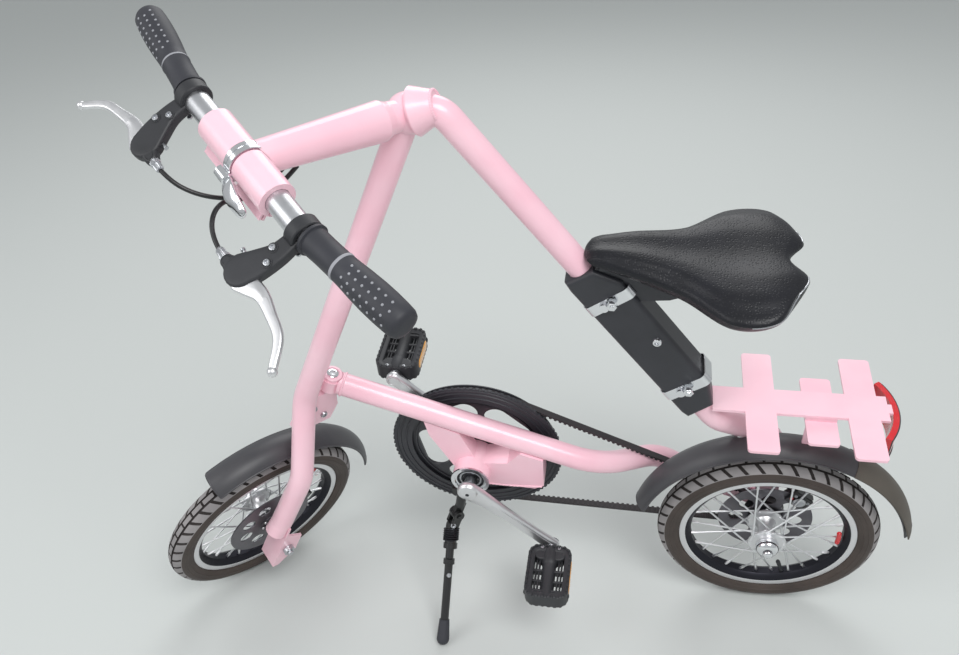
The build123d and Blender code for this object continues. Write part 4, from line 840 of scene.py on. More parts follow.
# Columns: share of the half width, mm inwards, level (0 pan, 1 skirt, 2 edge, 3 crown), mm above it
SADDLE_SECTION = [(0.0, 0, 3, 0), (0.25, 0, 3, -0.2), (0.5, 0, 3, -0.8), (0.72, 0, 3, -3.0),
                  (0.87, 0, 2, 4.5), (0.96, 0, 2, 0.8), (1.0, 0, 2, -4.0), (0.985, 0, 2, -8.0),
                  (0.9, 0, 1, 5.0), (0.8, 0, 1, 0.5), (0.74, 0, 1, 0.0), (0.72, 3, 1, 1.5),
                  (0.7, 5, 0, -2.0), (0.6, 6, 0, 0), (0.3, 3, 0, 0), (0.0, 0, 0, 0)]
WIDEST = 6
PAN_HEIGHT = 675.0
NARROW_HALF = 30.0
END_ROUNDING = 17.0
NOTCH_DEPTH = 21.0
NOTCH_SHARE = 0.62
TAIL_LENGTH = 62.0
LOBE_ROUNDING = 20.0
NOSE_START = 245.0
NOSE_LENGTH = 30.0
NOSE_ROUNDING = 6.0
TROUGH_DEPTH = 4.5
TROUGH_SHARE = 0.45
saddle_length = SADDLE_STATIONS[-1][0] - SADDLE_STATIONS[0][0]
print("saddle:", saddle_length, "mm long and", 2 * max(row[1] for row in SADDLE_STATIONS), "mm wide")

# %% [markdown]
# Smooth cubics through the stations and through the section's points fill the grid. Sculpting could
# give the same form, but a formula keeps both halves alike. Its ends are rounded by drawing the section
# together, and three soft pushes make what gives a saddle its look: the notch between two lobes at the
# tail, the round nose and a shallow trough along the middle.

# %% Saddle


def saddle_grid(rows=90, side_columns=22):
    """Width and heights are smooth functions of x; the section's points are shares of them. The ends draw
    the section together to one line at its middle height by sqrt(1 - (1 - s)^2), where each point beneath
    meets its partner above, and cos^2 of y pushes the tail's notch in."""
    stations = smooth_line(SADDLE_STATIONS, rows)
    above = np.linspace(0, WIDEST, side_columns, endpoint=False)
    below = np.linspace(WIDEST, len(SADDLE_SECTION) - 1, side_columns + 1)
    x, half, edge, crown, depth = stations.T
    levels = np.stack([np.maximum(PAN_HEIGHT, edge - depth + 1), edge - depth, edge, crown])
    y_half = [share * half - inwards * (half > NARROW_HALF) for share, inwards, _, _ in SADDLE_SECTION]
    z_half = [levels[level] + up for _, _, level, up in SADDLE_SECTION]
    drawn = np.stack([np.stack(y_half), np.stack(z_half)], axis=-1)
    outline = smooth_line(drawn, np.concatenate([above, below]))
    ends = np.clip(np.minimum(x - x[0], x[-1] - x) / END_ROUNDING, 0, 1)
    fullness = np.sqrt(1 - (1 - ends) ** 2)[None, :]
    y_side, z_side = outline[..., 0], outline[..., 1]
    partner = np.where(np.arange(2 * side_columns + 1)[:, None] > side_columns, y_side[::-1], y_side)
    y_side = (partner + (y_side - partner) * fullness) * (0.9 + 0.1 * fullness)
    y = np.concatenate([y_side, -y_side[-2:0:-1]]).T
    z = np.concatenate([z_side, z_side[-2:0:-1]]).T
    x, half, fullness = x[:, None], half[:, None], fullness.T
    middle = (edge - 0.3 * depth)[:, None]
    z = middle + (z - middle) * fullness
    share = np.abs(y) / half
    tail = np.clip(1 - (x - x[0]) / TAIL_LENGTH, 0, 1) ** 2
    notch = NOTCH_DEPTH * np.cos(np.clip(share / NOTCH_SHARE, 0, 1) * np.pi / 2) ** 2 * tail
    lobe = LOBE_ROUNDING * share ** 4 * tail
    nose = np.clip((x - NOSE_START) / NOSE_LENGTH, 0, 1) ** 2
    nose = NOSE_ROUNDING * (1 - np.clip(share, 0, 1) ** 2) * nose
    dip = np.clip(1 - (share / TROUGH_SHARE) ** 2, 0, 1) ** 2 * half / SADDLE_STATIONS[2][1]
    trough = TROUGH_DEPTH * dip * (z > middle) * fullness
    return np.stack([x + notch + lobe + nose, y, z - trough], axis=-1)


saddle_points = saddle_grid()
saddle = piece("saddle_pad", Shape().add(saddle_points, caps=False), on_bike, "rear_frame", [saddle_vinyl],
               ["saddle"], smooth=60)

# %% [markdown]
# A bright piping is sewn into the seam under each broad lobe. Typed points would drift off the pad, so
# the piping follows one line of the pad's own grid along the flank and then the pad's tail edge, and
# ends before the notch.

# %% Piping of the saddle
SEAM_COLUMN = 24
PIPING_ROWS = 30
PIPING_END = 30.0
PIPING_RADIUS = 1.1
flank = saddle_points[1:PIPING_ROWS, SEAM_COLUMN]
tail_edge = saddle_points[1, SEAM_COLUMN - 1::-1]
tail_edge = tail_edge[tail_edge[:, 1] > PIPING_END]
seam = smooth_line(np.concatenate([flank[::-2], tail_edge[1::2]]), 120)
piping = Shape()
for name, side in SIDES:
    sweep(piping, seam * [1, side, 1], PIPING_RADIUS)
piece("saddle_piping", piping, on_bike, "rear_frame", [zinc_steel])

# %% [markdown]
# The grips are soft rubber: smooth at the collar, then a thin raised ring whose pale grey is a painted
# highlight on its edge, then a swell for the palm with a field of small glossy dots, black rubber painted
# pale grey as a painted highlight of their glints. Dots in a bump pattern would vanish from the outline,
# so each is a small dome. They sit on a staggered lattice: their distance along the grip and their angle
# round it step together.

# %% Grips
BAR_SWEEP = np.radians(7.0)
BAR_KNEE = 104.0
GRIP_START = 17.0
GRIP_BORE = 14.0
PALM = np.array([0.55, 0, 0.83])
# Columns: distance along the grip, radius
GRIP_STATIONS = [(0, 17.4), (3, 17.6), (4, 15.4), (20, 14.9), (43, 15.0), (44, 15.6), (46, 15.6),
                 (47, 15.1), (58, 15.7), (72, 16.8), (90, 17.7), (106, 17.8), (120, 17.3), (129, 16.6),
                 (133, 14.8), (135, 9.0)]
RING_PLACE = (43.5, 46.5)
DOT_START = 60.0
DOT_PITCH = 9.3
DOT_RADIUS = 1.5
DOT_SUNK = 0.35
DOT_ROWS = 4
DOTS_PER_ROW = 7
DOT_ROW_TURN = 27


def grip_dots(shape, start, direction, palm):
    """Domes at start + pitch (i + half of every other row j) along the grip, in rows 27 degrees apart."""
    stations = np.array(GRIP_STATIONS)
    other = np.cross(direction, palm)
    for j in range(DOT_ROWS):
        turn = np.radians(DOT_ROW_TURN * (j - (DOT_ROWS - 1) / 2))
        out = np.cos(turn) * palm + np.sin(turn) * other
        for i in range(DOTS_PER_ROW):
            d = DOT_START + DOT_PITCH * (i + 0.5 * (j % 2))
            radius = np.interp(d, stations[:, 0], stations[:, 1]) - DOT_SUNK
            fastener(shape, start + d * direction + radius * out, out, DOT_RADIUS, DOME_HEAD, 10, 2)


for name, side in SIDES:
    direction = np.array([-np.sin(BAR_SWEEP), side * np.cos(BAR_SWEEP), 0.0])
    start = BAR_CLAMP + [0, side * BAR_KNEE, 0] + GRIP_START * direction
    palm = unit(PALM - (PALM @ direction) * direction)
    profile = [(GRIP_BORE, 0.0)] + [(radius, d) for d, radius in GRIP_STATIONS]
    # pale marks the faces of the raised ring, painted pale grey as a painted highlight on its edge.
    pale = [int(RING_PLACE[0] < d < RING_PLACE[1]) for radius, d in profile[:-1]]
    grip = lathe(Shape(), profile, start, direction, 72, pale)
    # The dots get mark 2, the pale grey that is a painted highlight of their glints.
    grip_dots(grip, start, direction, palm)
    piece(f"{name}_dotted_grip", grip, on_fork, "front_fork", [grip_rubber, ring_painted_highlight, dot_painted_glint],
          [f"{name}_grip"], smooth=50)

# %% [markdown]
# Each brake lever is a cast S-shaped blade that ends in a ball. A lever could be cut from a plate, but a
# casting is round at its edges and widest at its root, so it is a flat bar whose width follows its line.
# Levers and holders are drawn in the plane that the lever swings in, and right mirrors left.

# %% Brake lever blades
LEVER_TILT = np.radians(-17.5)
LEVER_REACH = around(LEVER_TILT)
LEVER_UP = around(LEVER_TILT + np.pi / 2)
# Columns: reach ahead of the bar, distance to the side, half width
LEVER_LINE = [(74, 108, 12.0), (70, 120, 10.5), (67, 136, 7.6), (71, 158, 5.8), (78, 182, 5.2),
              (97, 202, 4.2)]
BALL_PLACE = (100, 205)
BALL = [(5.0 * np.sin(t), -5.0 * np.cos(t)) for t in np.linspace(0.05, np.pi - 0.05, 14)]


def in_lever_plane(line, side):
    """Points given as (reach, distance to the side) in the plane that the lever swings in."""
    line = np.asarray(line, float)
    return BAR_CLAMP + line[..., :1] * LEVER_REACH + line[..., 1:2] * [0, side, 0]


for name, side in SIDES:
    line = smooth_line(LEVER_LINE, 40)
    lever = bar(Shape(), in_lever_plane(line, side), line[:, 2], 6.5, 2.8, LEVER_UP, 0.6)
    lathe(lever, BALL, in_lever_plane(BALL_PLACE, side), LEVER_UP, 24)
    piece(f"{name}_lever_blade", lever, on_fork, "front_fork", [cast_alloy],
          [f"{name}_brake_lever"])

# %% [markdown]
# The lever pivots in a nylon holder: a ring clamped round the bar, an arm out to the pivot and a socket
# for the cable. One moulding could be one surface, but three overlapping ones keep each form simple, and
# the joint lines between them are there on the real holder too. Screws and bushes follow from one table
# of places. The adjuster's knurl is a ripple of the lathe's radius.

# %% Brake lever holders and adjusters
HOLDER_LINE = [(12, 111, 9.5), (32, 111, 11.5), (52, 106, 15.5), (68, 100, 18.0)]
SOCKET_LINE = [(68, 98, 15.0), (71, 90, 11.0), (73, 81, 7.4)]
HOLDER_RING = [(13.8, -7.5), (17.4, -7.5), (18.5, -6.4), (18.5, 6.4), (17.4, 7.5), (13.8, 7.5)]
HOLDER_SIDE = 111.0
BUSH = [(5.6, 0), (5.6, 0.5), (4.4, 0.5), (4.4, 0.0)]
PIVOT_PLACES = [(31, 106), (44, 115)]
SET_SCREW = [(1.7, -4), (1.7, 5), (2.6, 5), (2.6, 7), (0.2, 7)]
SET_SCREW_PLACE = (55, 87)
CLAMP_SCREW_SIDES = (105.5, 116.5)
ADJUSTER = [(5.6, 0), (5.6, 4.0), (4.8, 4.6), (4.8, 5.4), (4.4, 5.4), (4.4, 12.5), (3.6, 14), (2.6, 14),
            (2.6, 15)]
ADJUSTER_PLACE = (73, 76.6)
ADJUSTER_SIDES = 72
KNURLS = 18
knurl = 0.25 * np.cos(KNURLS * np.linspace(0, 2 * np.pi, ADJUSTER_SIDES, endpoint=False))[None, :]

for name, side in SIDES:
    inwards = [0, -side, 0]
    holder = Shape()
    for stations, steps, thickness, rounding in ((HOLDER_LINE, 24, 13.0, 3.5), (SOCKET_LINE, 12, 12.0, 4.0)):
        line = smooth_line(stations, steps)
        bar(holder, in_lever_plane(line, side), line[:, 2], thickness, rounding, LEVER_UP)
    lathe(holder, HOLDER_RING, BAR_CLAMP + [0, side * HOLDER_SIDE, 0], closed=True)
    for screw in in_lever_plane(PIVOT_PLACES, side):
        lathe(holder, BUSH, screw + 6.4 * LEVER_UP, LEVER_UP, 24, closed=True)
        fastener(holder, screw + 6.2 * LEVER_UP, LEVER_UP, 3.8, mark=1)
    lathe(holder, SET_SCREW, in_lever_plane(SET_SCREW_PLACE, side), inwards, 12, mark=1)
    for screw_y in CLAMP_SCREW_SIDES:
        screw = in_lever_plane((17, screw_y), side)
        fastener(holder, screw - 13 * LEVER_UP, LEVER_UP, 3.0, mark=1)
    piece(f"{name}_lever_holder", holder, on_fork, "front_fork", [nylon_plastic, zinc_steel],
          [f"{name}_lever_body"])
    barrel = lathe(Shape(), ADJUSTER, in_lever_plane(ADJUSTER_PLACE, side), inwards, ADJUSTER_SIDES,
                   relief=knurl)
    piece(f"{name}_barrel_adjuster", barrel, on_fork, "front_fork", [zinc_steel],
          [f"{name}_cable_adjuster"])

# %% [markdown]
# A quick-release band closes the stem round the handlebar: a chrome band with a joint line, a round cam
# head in front and a curved lever that folds down beside it. The joint line could be a dark stripe in
# the finish. A real groove in the turned profile catches the light as the metal one does.

# %% Quick release
RELEASE_BAND = [(17.8, -6.0), (21.4, -6.0), (22.0, -5.4), (22.0, -0.6), (21.4, -0.4), (21.4, 0.4),
                (22.0, 0.6), (22.0, 5.4), (21.4, 6.0), (17.8, 6.0)]
CAM = [(6.4, 0), (7.6, 1.2), (7.6, 16.8), (6.4, 18)]
CAM_PIN = [(0.3, -0.6), (4.4, -0.6), (4.4, 0.3)]
CAM_PLACE = BAR_CLAMP + [25, -9, -3]
RELEASE_LINE = BAR_CLAMP + np.array([(25, 4, -3), (30, 16, -4), (33, 29, -7), (33, 42, -12)])
RELEASE_WIDTHS = [6.5, 9.0, 9.0, 7.0]
release = lathe(Shape(), RELEASE_BAND, BAR_CLAMP, sides=72, closed=True)
lathe(release, CAM, CAM_PLACE, sides=32)
lathe(release, CAM_PIN, CAM_PLACE, sides=24, mark=1)
bar(release, smooth_line(RELEASE_LINE, 24), smooth_line(RELEASE_WIDTHS, 24), 4.2, 1.8,
    [0.75, -0.1, 0.65], 0.8)
piece("quick_release", release, on_fork, "front_fork", [chrome, dark_steel],
      ["clamp_lever"])

# %% [markdown]
# A crank is forged or cast alloy, thick at its boss, slim in the middle and rounded at the pedal's eye.
# A box between two cylinders would look cut out, so a flat bar whose width and thickness change gives
# the arm, a turned boss the bearing end, and a dark socket its bolt.

# %% Cranks
CRANK_ANGLE = np.radians(43.6)
CRANK_LENGTH = 171.0
# Columns: name, side, middle of the arm and outer face, in mm from the bicycle's middle plane
CRANKS = (("left", 1, 56.0, 62.0), ("right", -1, -52.0, -58.0))
# Columns: distance along the arm, sideways bow, half width, thickness
CRANK_LINE = [(0, 0.0, 16.5, 12.0), (16, 0.6, 15.6, 12.0), (40, 1.6, 12.8, 11.2), (85, 1.6, 10.6, 10.6),
              (130, 0.6, 10.4, 10.8), (158, 0.0, 11.4, 11.6), (171, 0.0, 11.5, 12.0)]
BOSS = [(15.6, -0.6), (15.4, 0.2), (13.6, 1.6), (10.0, 2.6), (5.0, 3.1), (0.3, 3.2)]
SOCKET = [(3.0, 3.0), (2.8, 3.5), (0.3, 3.6)]
EYE = [(10.4, -0.2), (10.4, 0.3), (9.4, 1.0), (7.4, 1.0), (6.6, 0.0), (0.3, 0.0)]


def crank_turn(side):
    """The angle of a crank, with the left one pointing away from the right one."""
    return CRANK_ANGLE + (np.pi if side > 0 else 0)


for name, side, middle, outer in CRANKS:
    along, bow = around(crank_turn(side)), around(crank_turn(side) + np.pi / 2)
    line = smooth_line(CRANK_LINE, 48)
    centre = BRACKET + [0, middle, 0] + line[:, :1] * along - line[:, 1:2] * bow
    arm = bar(Shape(), centre, line[:, 2], line[:, 3], 4.8, [0, 1, 0], 1.2, 20)
    hub_face = BRACKET + [0, outer, 0]
    lathe(arm, BOSS, hub_face, [0, side, 0], 48)
    lathe(arm, SOCKET, hub_face, [0, side, 0], 16, mark=1)
    lathe(arm, EYE, BRACKET + [0, middle - side * 6, 0] + CRANK_LENGTH * along, [0, -side, 0], 36)
    piece(f"{name}_crank_arm", arm, on_bike, "crank_set", [cast_alloy, dark_steel],
          [f"{name}_crank"])

# %% [markdown]
# A pedal is moulded nylon: a serrated cage round a barrel. The cage could be a box with a hole, but its
# wall is even and its corners are round, so it is a closed section carried round a rounded rectangle,
# and its edges stand higher where a tooth is.

# %% The pedal's cage
PEDAL_HALF = 33.0
PEDAL_REACH = (4.0, 95.8)
CAGE_CORNER = 17.0
CAGE_WALL = 10.5
TOOTH_PITCH = 9.0
TOOTH_HEIGHT = 1.8
# Columns: inset from the outline, height, share of a tooth's height
CAGE_SECTION = [(0, 11.5, 1), (1.2, 12.4, 1), (3.6, 12.4, 1), (4.0, 11.6, 0), (9.2, 11.4, 0),
                (CAGE_WALL, 10.4, 0), (CAGE_WALL, -10.4, 0), (9.2, -11.4, 0), (4.0, -11.6, 0),
                (3.6, -12.4, -1), (1.2, -12.4, -1), (0, -11.5, -1)]


def cage_outline(count=232):
    """Points and outward normals round a rectangle with round corners, evenly spaced along it."""
    low, high = PEDAL_REACH
    half = [PEDAL_HALF - CAGE_CORNER, (high - low) / 2 - CAGE_CORNER]
    turn = np.linspace(0, np.pi / 2, 14)
    points, normals = [], []
    for quadrant, (sx, sy) in enumerate(((1, 1), (-1, 1), (-1, -1), (1, -1))):
        angle = turn + quadrant * np.pi / 2
        normal = np.column_stack([np.cos(angle), np.sin(angle)])
        normals.append(normal)
        points.append([sx * half[0], (high + low) / 2 + sy * half[1]] + CAGE_CORNER * normal)
    points, normals = (np.vstack([*stretch, stretch[0][:1]]) for stretch in (points, normals))
    walked = np.append(0, np.cumsum(np.linalg.norm(np.diff(points, axis=0), axis=1)))
    t = np.linspace(0, walked[-1], count, endpoint=False)
    points, normals = (np.column_stack([np.interp(t, walked, column) for column in array.T])
                       for array in (points, normals))
    return points, unit(normals), t


def cage_grid():
    """Outline minus inset times its normal, at the section's height; teeth add to it on the outside."""
    points, normals, t = cage_outline()
    tooth = TOOTH_HEIGHT * ((t % TOOTH_PITCH) < TOOTH_PITCH / 2)
    inset, height, teeth = np.array(CAGE_SECTION).T[:, :, None]
    flat = points[None] - inset[..., None] * normals[None]
    return np.concatenate([flat, (height + teeth * tooth[None, :])[..., None]], axis=-1)


cage_points = cage_grid()
print("the cage's grid has", cage_points.shape[0], "rows of", cage_points.shape[1], "points")

# %% [markdown]
# Inside the cage lie the barrel over the axle, cross webs and thin rails that the shoe stands on, with
# end screws and an amber reflector front and back. All of them are short bars, so a table would hide
# little: they are placed from the axle outwards, and the right pedal mirrors the left.

# %% Pedals
PEDAL_BARREL = [(9.5, 4), (12.5, 5), (13.4, 7), (13.4, 30), (12.0, 33), (10.6, 36), (10.6, 78),
                (12.4, 84), (12.4, 92)]
BLOCK_HALF, BLOCK_PLACE = 13, 17.5
# Columns: distance along the axle, half height
WEBS = ((46, 6.0), (64, 6.0), (82, 9.5))
WEB_HALF = 25
RAIL_PLACES = (14.5, 19.0)
LENS_PLACE = 31.6
for name, side, middle, face in CRANKS:
    axle = BRACKET + around(crank_turn(side), CRANK_LENGTH, face)
    outwards = np.array([1, side, 1])
    cage = Shape().add(cage_points * outwards + axle, closed=True)
    lathe(cage, PEDAL_BARREL, axle, [0, side, 0], 40)
    block = np.linspace((-BLOCK_HALF, BLOCK_PLACE, 0), (BLOCK_HALF, BLOCK_PLACE, 0), 3)
    bar(cage, axle + block * outwards, 11.5, 21.0, 3.0, [0, 0, 1])
    for reach, half_height in WEBS:
        web = np.linspace((-WEB_HALF, reach, 0), (WEB_HALF, reach, 0), 3)
        bar(cage, axle + web * outwards, half_height, 4.0, 1.2, [0, 1, 0])
    for across in (-1, 1):
        for rail_x in RAIL_PLACES:
            rail = np.array([(across * rail_x, along, 0) for along in (24, 50, 88)])
            bar(cage, axle + rail * outwards, 5.0, 2.6, 1.0, [1, 0, 0])
        for height in (1, -1):
            screw = np.array([across * BLOCK_HALF, 9, 11.2 * height])
            fastener(cage, axle + screw * outwards, [0, 0, height], 2.8, mark=1)
    fastener(cage, axle + [0, side * 88.0, 0], [0, side, 0], 9.0, DOME_HEAD, 32)
    piece(f"{name}_pedal_cage", cage, on_bike, f"{name}_pedal_body", [nylon_plastic, zinc_steel],
          [f"{name}_pedal"])
    lenses = Shape()
    for across in (-LENS_PLACE, LENS_PLACE):
        strip = np.linspace((across, 31, 0), (across, 69, 0), 3)
        bar(lenses, axle + strip * outwards, 8.6, 4.0, 1.6, [1, 0, 0], 0.3)
    piece(f"{name}_pedal_lenses", lenses, on_bike, f"{name}_pedal_body", [amber_lens],
          [f"{name}_pedal_reflectors"])

# %% [markdown]
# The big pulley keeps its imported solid, with its windows. Its guard has fine turned ridges and a toothed
# edge, which could be a bump pattern, but they catch the light at the outline too, so they are laid on
# the face as thin rings. The teeth are a ripple in the radius of a ring.

# %% Ridges and teeth of the big pulley
GUARD_FACE = -26.0
WEB_FACE = -31.5
# Columns: radius, face that the ridge stands on, height
RIDGES = ((128.5, GUARD_FACE, 1.1), (122.0, GUARD_FACE, 1.1), (113.0, GUARD_FACE, 1.4),
          (97.5, WEB_FACE, 2.0), (48.0, WEB_FACE, 2.0))
EDGE_PROFILE = [(127.0, -3.2), (133.6, -3.2), (133.6, 0.4), (127.0, 0.4)]
EDGE_TEETH = 88
TOOTH_DEPTH = 2.2
ridges = Shape()
for radius, face, high in RIDGES:
    ridge = [(radius - 1.6, -0.3), (radius - 0.9, high), (radius + 0.9, high), (radius + 1.6, -0.3)]
    lathe(ridges, ridge, BRACKET + [0, face, 0], sides=144, closed=True)
wave = np.cos(EDGE_TEETH * np.linspace(0, 2 * np.pi, 8 * EDGE_TEETH, endpoint=False))
notches = np.where(wave > 0, 0.0, -TOOTH_DEPTH)[None, :] * np.array([0, 1, 1, 0])[:, None]
lathe(ridges, EDGE_PROFILE, BRACKET + [0, GUARD_FACE, 0], sides=8 * EDGE_TEETH, closed=True,
      relief=notches)
piece("pulley_ridges", ridges, on_bike, "crank_set", [satin_plastic], smooth=30)

# %% [markdown]
# Between the left crank and its housing the bearing shows: an inner race, a seal and an outer race. The
# balls are closed in, so a few rings of steel, one of them bright, say all that the eye can see.

# %% Bearing rings of the crank housing
BEARING_FOOT = 33.0
BEARING_EDGE = 0.4
BEARING_ROUND = 0.5
# Columns: inner radius, outer radius, height of the face, number of its material
BEARING_RINGS = ((9.2, 11.0, 34.2, 0), (11.8, 14.0, 34.8, 0), (14.8, 17.0, 35.2, 1), (17.8, 20.4, 35.6, 0))
bearing = Shape()
for inner, outer, high, mark in BEARING_RINGS:
    ring = [(inner, BEARING_FOOT), (inner, high - BEARING_EDGE), (inner + BEARING_ROUND, high),
            (outer - BEARING_ROUND, high), (outer, high - BEARING_EDGE), (outer, BEARING_FOOT)]
    lathe(bearing, ring, BRACKET, sides=72, mark=mark, closed=True)
piece("bearing_seal", bearing, on_bike, "bottom_frame", [dark_steel, zinc_steel])

# %% [markdown]
# Mudguards are moulded with a rolled lip along each edge, which keeps water in and the sheet stiff. A
# bevel on the sheet would only soften its edge, so the lips are a round section swept along an arc at
# each side and across each end.

# %% Mudguard lips
# Columns: name, place, body, hub's x, outer radius, first and last angle in degrees
GUARDS = (("rear", on_bike, "rear_frame", 0.0, 205.0, 14.6, 167.0),
          ("front", on_fork, "front_fork", WHEEL_BASE, 195.0, 76.6, 185.4))
GUARD_SIDE = 23.6
GUARD_BELLY = 12.0
for name, place, body, hub_x, crown, low, high in GUARDS:
    centre = np.array([hub_x, 0, WHEEL_RADIUS])
    ray = around(np.radians(np.linspace(low, high, 90)))
    lips = Shape()
    for side in (-GUARD_SIDE, GUARD_SIDE):
        sweep(lips, centre + (crown - 12.6) * ray + [0, side, 0], 1.7)
    across = np.linspace(-GUARD_SIDE, GUARD_SIDE, 25)[:, None]
    reach = crown - 0.8 - GUARD_BELLY * (across / 24) ** 2
    for end in (ray[0], ray[-1]):
        sweep(lips, centre + reach * end + across * [0, 1, 0], 1.5)
    piece(f"{name}_mudguard_lips", lips, place, body, [guard_plastic])

# %% [markdown]
# The rear mudguard ends in a flap of soft rubber that covers its tail. It could hang as cloth, but it is
# thick and stiff and keeps its bend, so it is two layers of one formula with a rim between them.

# %% Mud flap
FLAP_START = 119
FLAP_SWEEP = 46
FLAP_HALF = 26.0
FLAP_SPREAD = 8.0
FLAP_RADIUS = 206.2
FLAP_THICKNESS = 2.0


def flap_grid(count=30):
    """Run r goes down the flap and a across it: the radius is 206.2 - 1.5 r^3 - (12.5 - 4 r) a^2, and the
    half width 26 + 8 r^1.5, so the sheet widens and flattens as it hangs."""
    run = np.linspace(0, 1, count)[:, None]
    across = np.linspace(-1, 1, 21)[None, :]
    turn = np.radians(FLAP_START + FLAP_SWEEP * run)
    spread = FLAP_HALF + FLAP_SPREAD * run ** 1.5
    radius = FLAP_RADIUS - 1.5 * run ** 3 - (12.5 - 4.0 * run) * across ** 2
    outer, inner = (around(turn, radius - depth, spread * across) for depth in (0.0, FLAP_THICKNESS))
    return np.concatenate([outer, inner[:, ::-1]], axis=1)


flap = Shape().add(flap_grid())
piece("rear_mudguard_flap", flap, in_rear_wheel, "rear_frame", [flap_rubber])

# %% [markdown]
# The side stand is held down or up by a coil spring round its knuckle, and a bright pinch bolt sets its
# length. Stacked rings would look like a bellows, so the spring is a wire swept along a helix: so much
# along the shin for each turn, and a circle in the two directions square to it.

# %% Stand spring
STAND_ROOT = np.array([475.0, 38.0, 183.0])
STAND_KNEE = STAND_ROOT + 24.0 * unit([0.35, 0.345, -0.87])
STAND_FOOT = np.array([486.0, 172.0, 35.69])
SPRING_TURNS = 6
SPRING_START = 4
SPRING_LENGTH = 20
SPRING_RADIUS = 11.3
COLLAR = [(7.0, 52), (9.0, 53), (9.0, 61), (7.0, 62)]
shin = unit(STAND_FOOT - STAND_KNEE)
shin_side = unit(np.cross(shin, [1.0, 0, 0]))
shin_front = np.cross(shin, shin_side)
turns = np.linspace(0, SPRING_TURNS, 150)[:, None]
circle = np.cos(2 * np.pi * turns) * shin_side + np.sin(2 * np.pi * turns) * shin_front
coil = STAND_KNEE + (SPRING_START + SPRING_LENGTH * turns / SPRING_TURNS) * shin + SPRING_RADIUS * circle
spring = sweep(Shape(), coil, 1.5, mark=1)
lathe(spring, COLLAR, STAND_KNEE, shin, 32)
outwards = unit(-shin_side + 0.4 * shin_front)
fastener(spring, STAND_KNEE + 78 * shin + 5.5 * outwards, outwards, 3.6, mark=2)
fastener(spring, STAND_KNEE - 1 * shin + 10.5 * outwards, outwards, 4.4, mark=2)
piece("stand_spring", spring, on_bike, "side_stand", [black_coat, dark_steel, zinc_steel])

# %% [markdown]
# What is left are the small parts that a fitter would see. First the bolts: the cap of the lower joint,
# the two bolts of the front lug, and the screws of the bands round the saddle's moulding. Each head is
# the same few turned forms in its own size, so a new bolt is one line.

# %% Bolts of the joints and bands
WASHER = np.array([(1, -1.5), (1, 0.7), (0.95, 0.85), (0.72, 0.85), (0.7, 0.5), (0.01, 0.45)])
LUG_BOLTS = ((688.0, 392.0), (676.0, 362.0))
MAIN_TOP = np.array([443.0, 0.0, 872.7])
MAIN_DOWN = unit(np.array([100.0, 0.0, 405.0]) - MAIN_TOP)
MAIN_FRONT = np.array([-MAIN_DOWN[2], 0.0, MAIN_DOWN[0]])
BANDS_ALONG = (318.0, 492.0)
joint_cap = lathe(Shape(), WASHER * [14.5, 4.0], LOWER_JOINT + 13 * steer_bike, steer_bike, 48)
fastener(joint_cap, LOWER_JOINT + 14.6 * steer_bike, steer_bike, 8.6, SOCKET_HEAD * [1, 0.5], 32, 1)
piece("lower_joint_cap", joint_cap, on_bike, "front_fork", [pink_coat, chrome])
lug_bolts = Shape()
for x, z in LUG_BOLTS:
    for side, form in ((-1, NUT_HEAD), (1, SOCKET_HEAD)):
        fastener(lug_bolts, [x, side * 7.0, z], [0, side, 0], 5.5, form)
piece("lug_bolts", lug_bolts, on_fork, "front_fork", [zinc_steel])
moulding_bolts = Shape()
for along in BANDS_ALONG:
    band_side = MAIN_TOP + along * MAIN_DOWN - 12.0 * MAIN_FRONT
    fastener(moulding_bolts, band_side + [0, 28.0, 0], [0, 1, 0], 6.8, NUT_HEAD, 6)
    fastener(moulding_bolts, band_side - [0, 23.2, 0], [0, -1, 0], 5.6)
middle_bolt = MAIN_TOP + 402.0 * MAIN_DOWN - 22.0 * MAIN_FRONT + [0, 21.6, 0]
fastener(moulding_bolts, middle_bolt, [0, 1, 0], 6.2)
piece("moulding_bolts", moulding_bolts, on_bike, "rear_frame", [chrome])

# %% [markdown]
# A disc brake's caliper has a round adjusting knob with a red mark and two small screws, and a domed nut
# closes each axle. They are placed by their angle about the axle, so that the same lines serve both
# wheels.

# %% Brake knobs and axle nuts
KNOB = [(9.0, 0), (9.6, 0.6), (9.6, 1.6), (8.6, 2.4), (5.0, 2.7), (0.3, 2.8)]
KNOB_MARK = [(2.6, 0), (2.6, 1.2), (0.3, 1.6)]
KNOB_FACE = np.array([0, -13.6, 0])
SCREW_FACE = np.array([0, -15.6, 0])
# Columns: name, place, body, angle of the caliper in degrees
CALIPERS = (("rear", in_rear_wheel, "rear_frame", 128.0), ("front", in_front_wheel, "front_fork", 150.0))
for name, place, body, turn in CALIPERS:
    ray, tangent = around(np.radians(turn)), around(np.radians(turn + 90))
    knob = lathe(Shape(), KNOB, 68 * ray + KNOB_FACE, sides=40)
    lathe(knob, KNOB_MARK, 66 * ray - 13 * tangent + SCREW_FACE, sides=16, mark=1)
    for reach in (-12, 12):
        fastener(knob, 74 * ray + reach * tangent + SCREW_FACE, [0, 1, 0], 2.6)
    piece(f"{name}_brake_knob", knob, place, body, [zinc_steel, red_lens])
    nut = fastener(Shape(), [0, CAP_END[name] + 0.6, 0], [0, 1, 0], 7.6, DOME_HEAD, 32)
    piece(f"{name}_axle_nut", nut, place, body, [chrome])
boss = fastener(Shape(), [0, -63.2, 0], [0, -1, 0], 9.0, DOME_HEAD, 32)
piece("fork_axle_boss", boss, in_front_wheel, "front_fork", [pink_coat])

